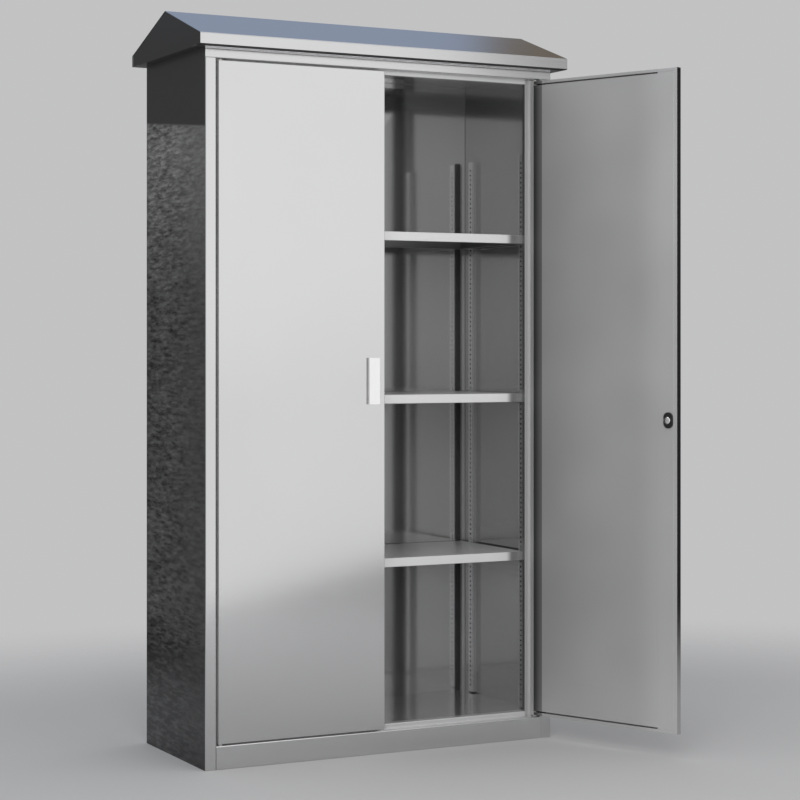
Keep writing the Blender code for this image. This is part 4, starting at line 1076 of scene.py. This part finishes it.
class CABINET_OT_lock(bpy.types.Operator):
    """Lock cylinder, black cover with its screws, and the spindle cap"""

    bl_idname = "cabinet.lock"
    bl_label = "Lock"

    def execute(self, context):
        given = settings().lock
        chrome, black = lock_chrome(), black_moulding()
        dress(chrome, "lock_housing", "lock_plug")
        cover = mesh_from(copy_of_node("lock_cover"), "lock_cover", black)
        cover = rounded_mesh("rounded_lock_cover", cover, given.cover_edge)
        new_piece("rounded_lock_cover", cover, "right_door", "black_plastic", "lock_cover")
        shut = opened_door().inverted()
        corners = [shut @ vertex.co for vertex in NODES["lock_cover"].data.vertices]
        across, depth, height = zip(*corners)
        middle = [(max(values) + min(values)) / 2 for values in (across, height)]
        face = max(depth)
        self.knob(given, chrome, middle, face)
        self.cover_screws(given, black, middle, face)
        return {"FINISHED"}

    @staticmethod
    def knob(given, chrome, middle, face):
        """Domed cap on the spindle."""
        wide, rise = given.knob_radius, given.knob_rise
        turns = [math.pi / 2 * step / KNOB_STEPS for step in range(KNOB_STEPS)]
        dome = [(math.sin(turn), KNOB_RIM + (1 - KNOB_RIM) * math.cos(turn)) for turn in turns]
        outline = [*scaled([*dome, (1, KNOB_RIM)], wide, rise), (wide, KNOB_LIFT), (0, KNOB_LIFT)]
        mesh = turned_head(outline, KNOB_SIDES)
        mesh.shade_smooth()
        mesh.transform(opened_door() @ Matrix.Translation((middle[0], face, middle[1])))
        mesh.materials.append(chrome)
        new_piece("domed_spindle_cap", mesh, "lock_spindle", "lock_chrome", "spindle_cap")

    @staticmethod
    def cover_screws(given, black, middle, face):
        """Two dimpled screw heads, above and below the spindle."""
        head = turned_head(scaled(SCREW_HEAD, given.screw_radius, given.screw_rise), SCREW_SIDES)
        first = (middle[0], face, middle[1] - given.screw_offset)
        mesh = grown_mesh("cover_screws", head, fastener_row_group(), {
            "First": first,
            "Step": (0, 0, given.screw_offset * 2),
            "Count": 2,
            "Material": black,
        })
        mesh.transform(opened_door())
        new_piece("cover_screws", mesh, "right_door", "black_plastic")


class CABINET_OT_fixings(bpy.types.Operator):
    """Rivets round the edge of the back panel"""

    bl_idname = "cabinet.fixings"
    bl_label = "Back panel rivets"

    def execute(self, context):
        given = settings().fixings
        head = turned_head(scaled(RIVET_HEAD, given.rivet_radius, given.rivet_rise), RIVET_SIDES)
        zinc = zinc_plate()
        group = fastener_row_group()
        for name, count, first, last in self.rows(given):
            step = (Vector(last) - Vector(first)) / (count - 1)
            mesh = grown_mesh(name, head.copy(), group,
                              {"First": first, "Step": step, "Count": count, "Material": zinc})
            new_piece(name, mesh, "carcass", "zinc_steel")
        return {"FINISHED"}

    @staticmethod
    def rows(given):
        """Name, count and ends of each row: down both sides, and between them along the top and foot."""
        low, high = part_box("back_panel")
        left, right = low.x + given.rivet_inset, high.x - given.rivet_inset
        foot, top = low.z + given.rivet_inset * 2, high.z - given.rivet_inset
        down, across, face = given.rivets_down, given.rivets_across, high.y
        gap = (right - left) / (across + 1)
        return (
            ("left_back_rivets", down, (left, face, foot), (left, face, top)),
            ("right_back_rivets", down, (right, face, foot), (right, face, top)),
            ("foot_back_rivets", across, (left + gap, face, foot), (right - gap, face, foot)),
            ("top_back_rivets", across, (left + gap, face, top), (right - gap, face, top)),
        )


class CABINET_PT_looks(bpy.types.Panel):
    """Lists the steps that build the cabinet's looks"""

    bl_idname = "CABINET_PT_looks"
    bl_label = "Cabinet"
    bl_space_type = "VIEW_3D"
    bl_region_type = "UI"
    bl_category = "Cabinet"

    def draw(self, context):
        for operator in OPERATORS:
            self.layout.operator(operator.bl_idname)
        for group in (settings().finish, settings().uprights, settings().lock, settings().fixings,
                      settings().stage):
            box = self.layout.box()
            for name in group.__annotations__:
                box.prop(group, name)


GROUPS = (FinishSettings, UprightSettings, LockSettings, FixingSettings, StageSettings, CabinetSettings)
OPERATORS = (CABINET_OT_stage, CABINET_OT_steelwork, CABINET_OT_fittings, CABINET_OT_uprights,
             CABINET_OT_pulls, CABINET_OT_lock, CABINET_OT_fixings)


def register():
    for item in (*GROUPS, *OPERATORS, CABINET_PT_looks):
        bpy.utils.register_class(item)
    bpy.types.Scene.cabinet = PointerProperty(type=CabinetSettings)


def unregister():
    del bpy.types.Scene.cabinet
    for item in reversed((*GROUPS, *OPERATORS, CABINET_PT_looks)):
        bpy.utils.unregister_class(item)


def main():
    register()
    bpy.ops.cabinet.stage()
    bpy.ops.cabinet.steelwork()
    bpy.ops.cabinet.fittings()
    bpy.ops.cabinet.uprights()
    bpy.ops.cabinet.pulls()
    bpy.ops.cabinet.lock()
    bpy.ops.cabinet.fixings()


if __name__ == "__main__":
    main()
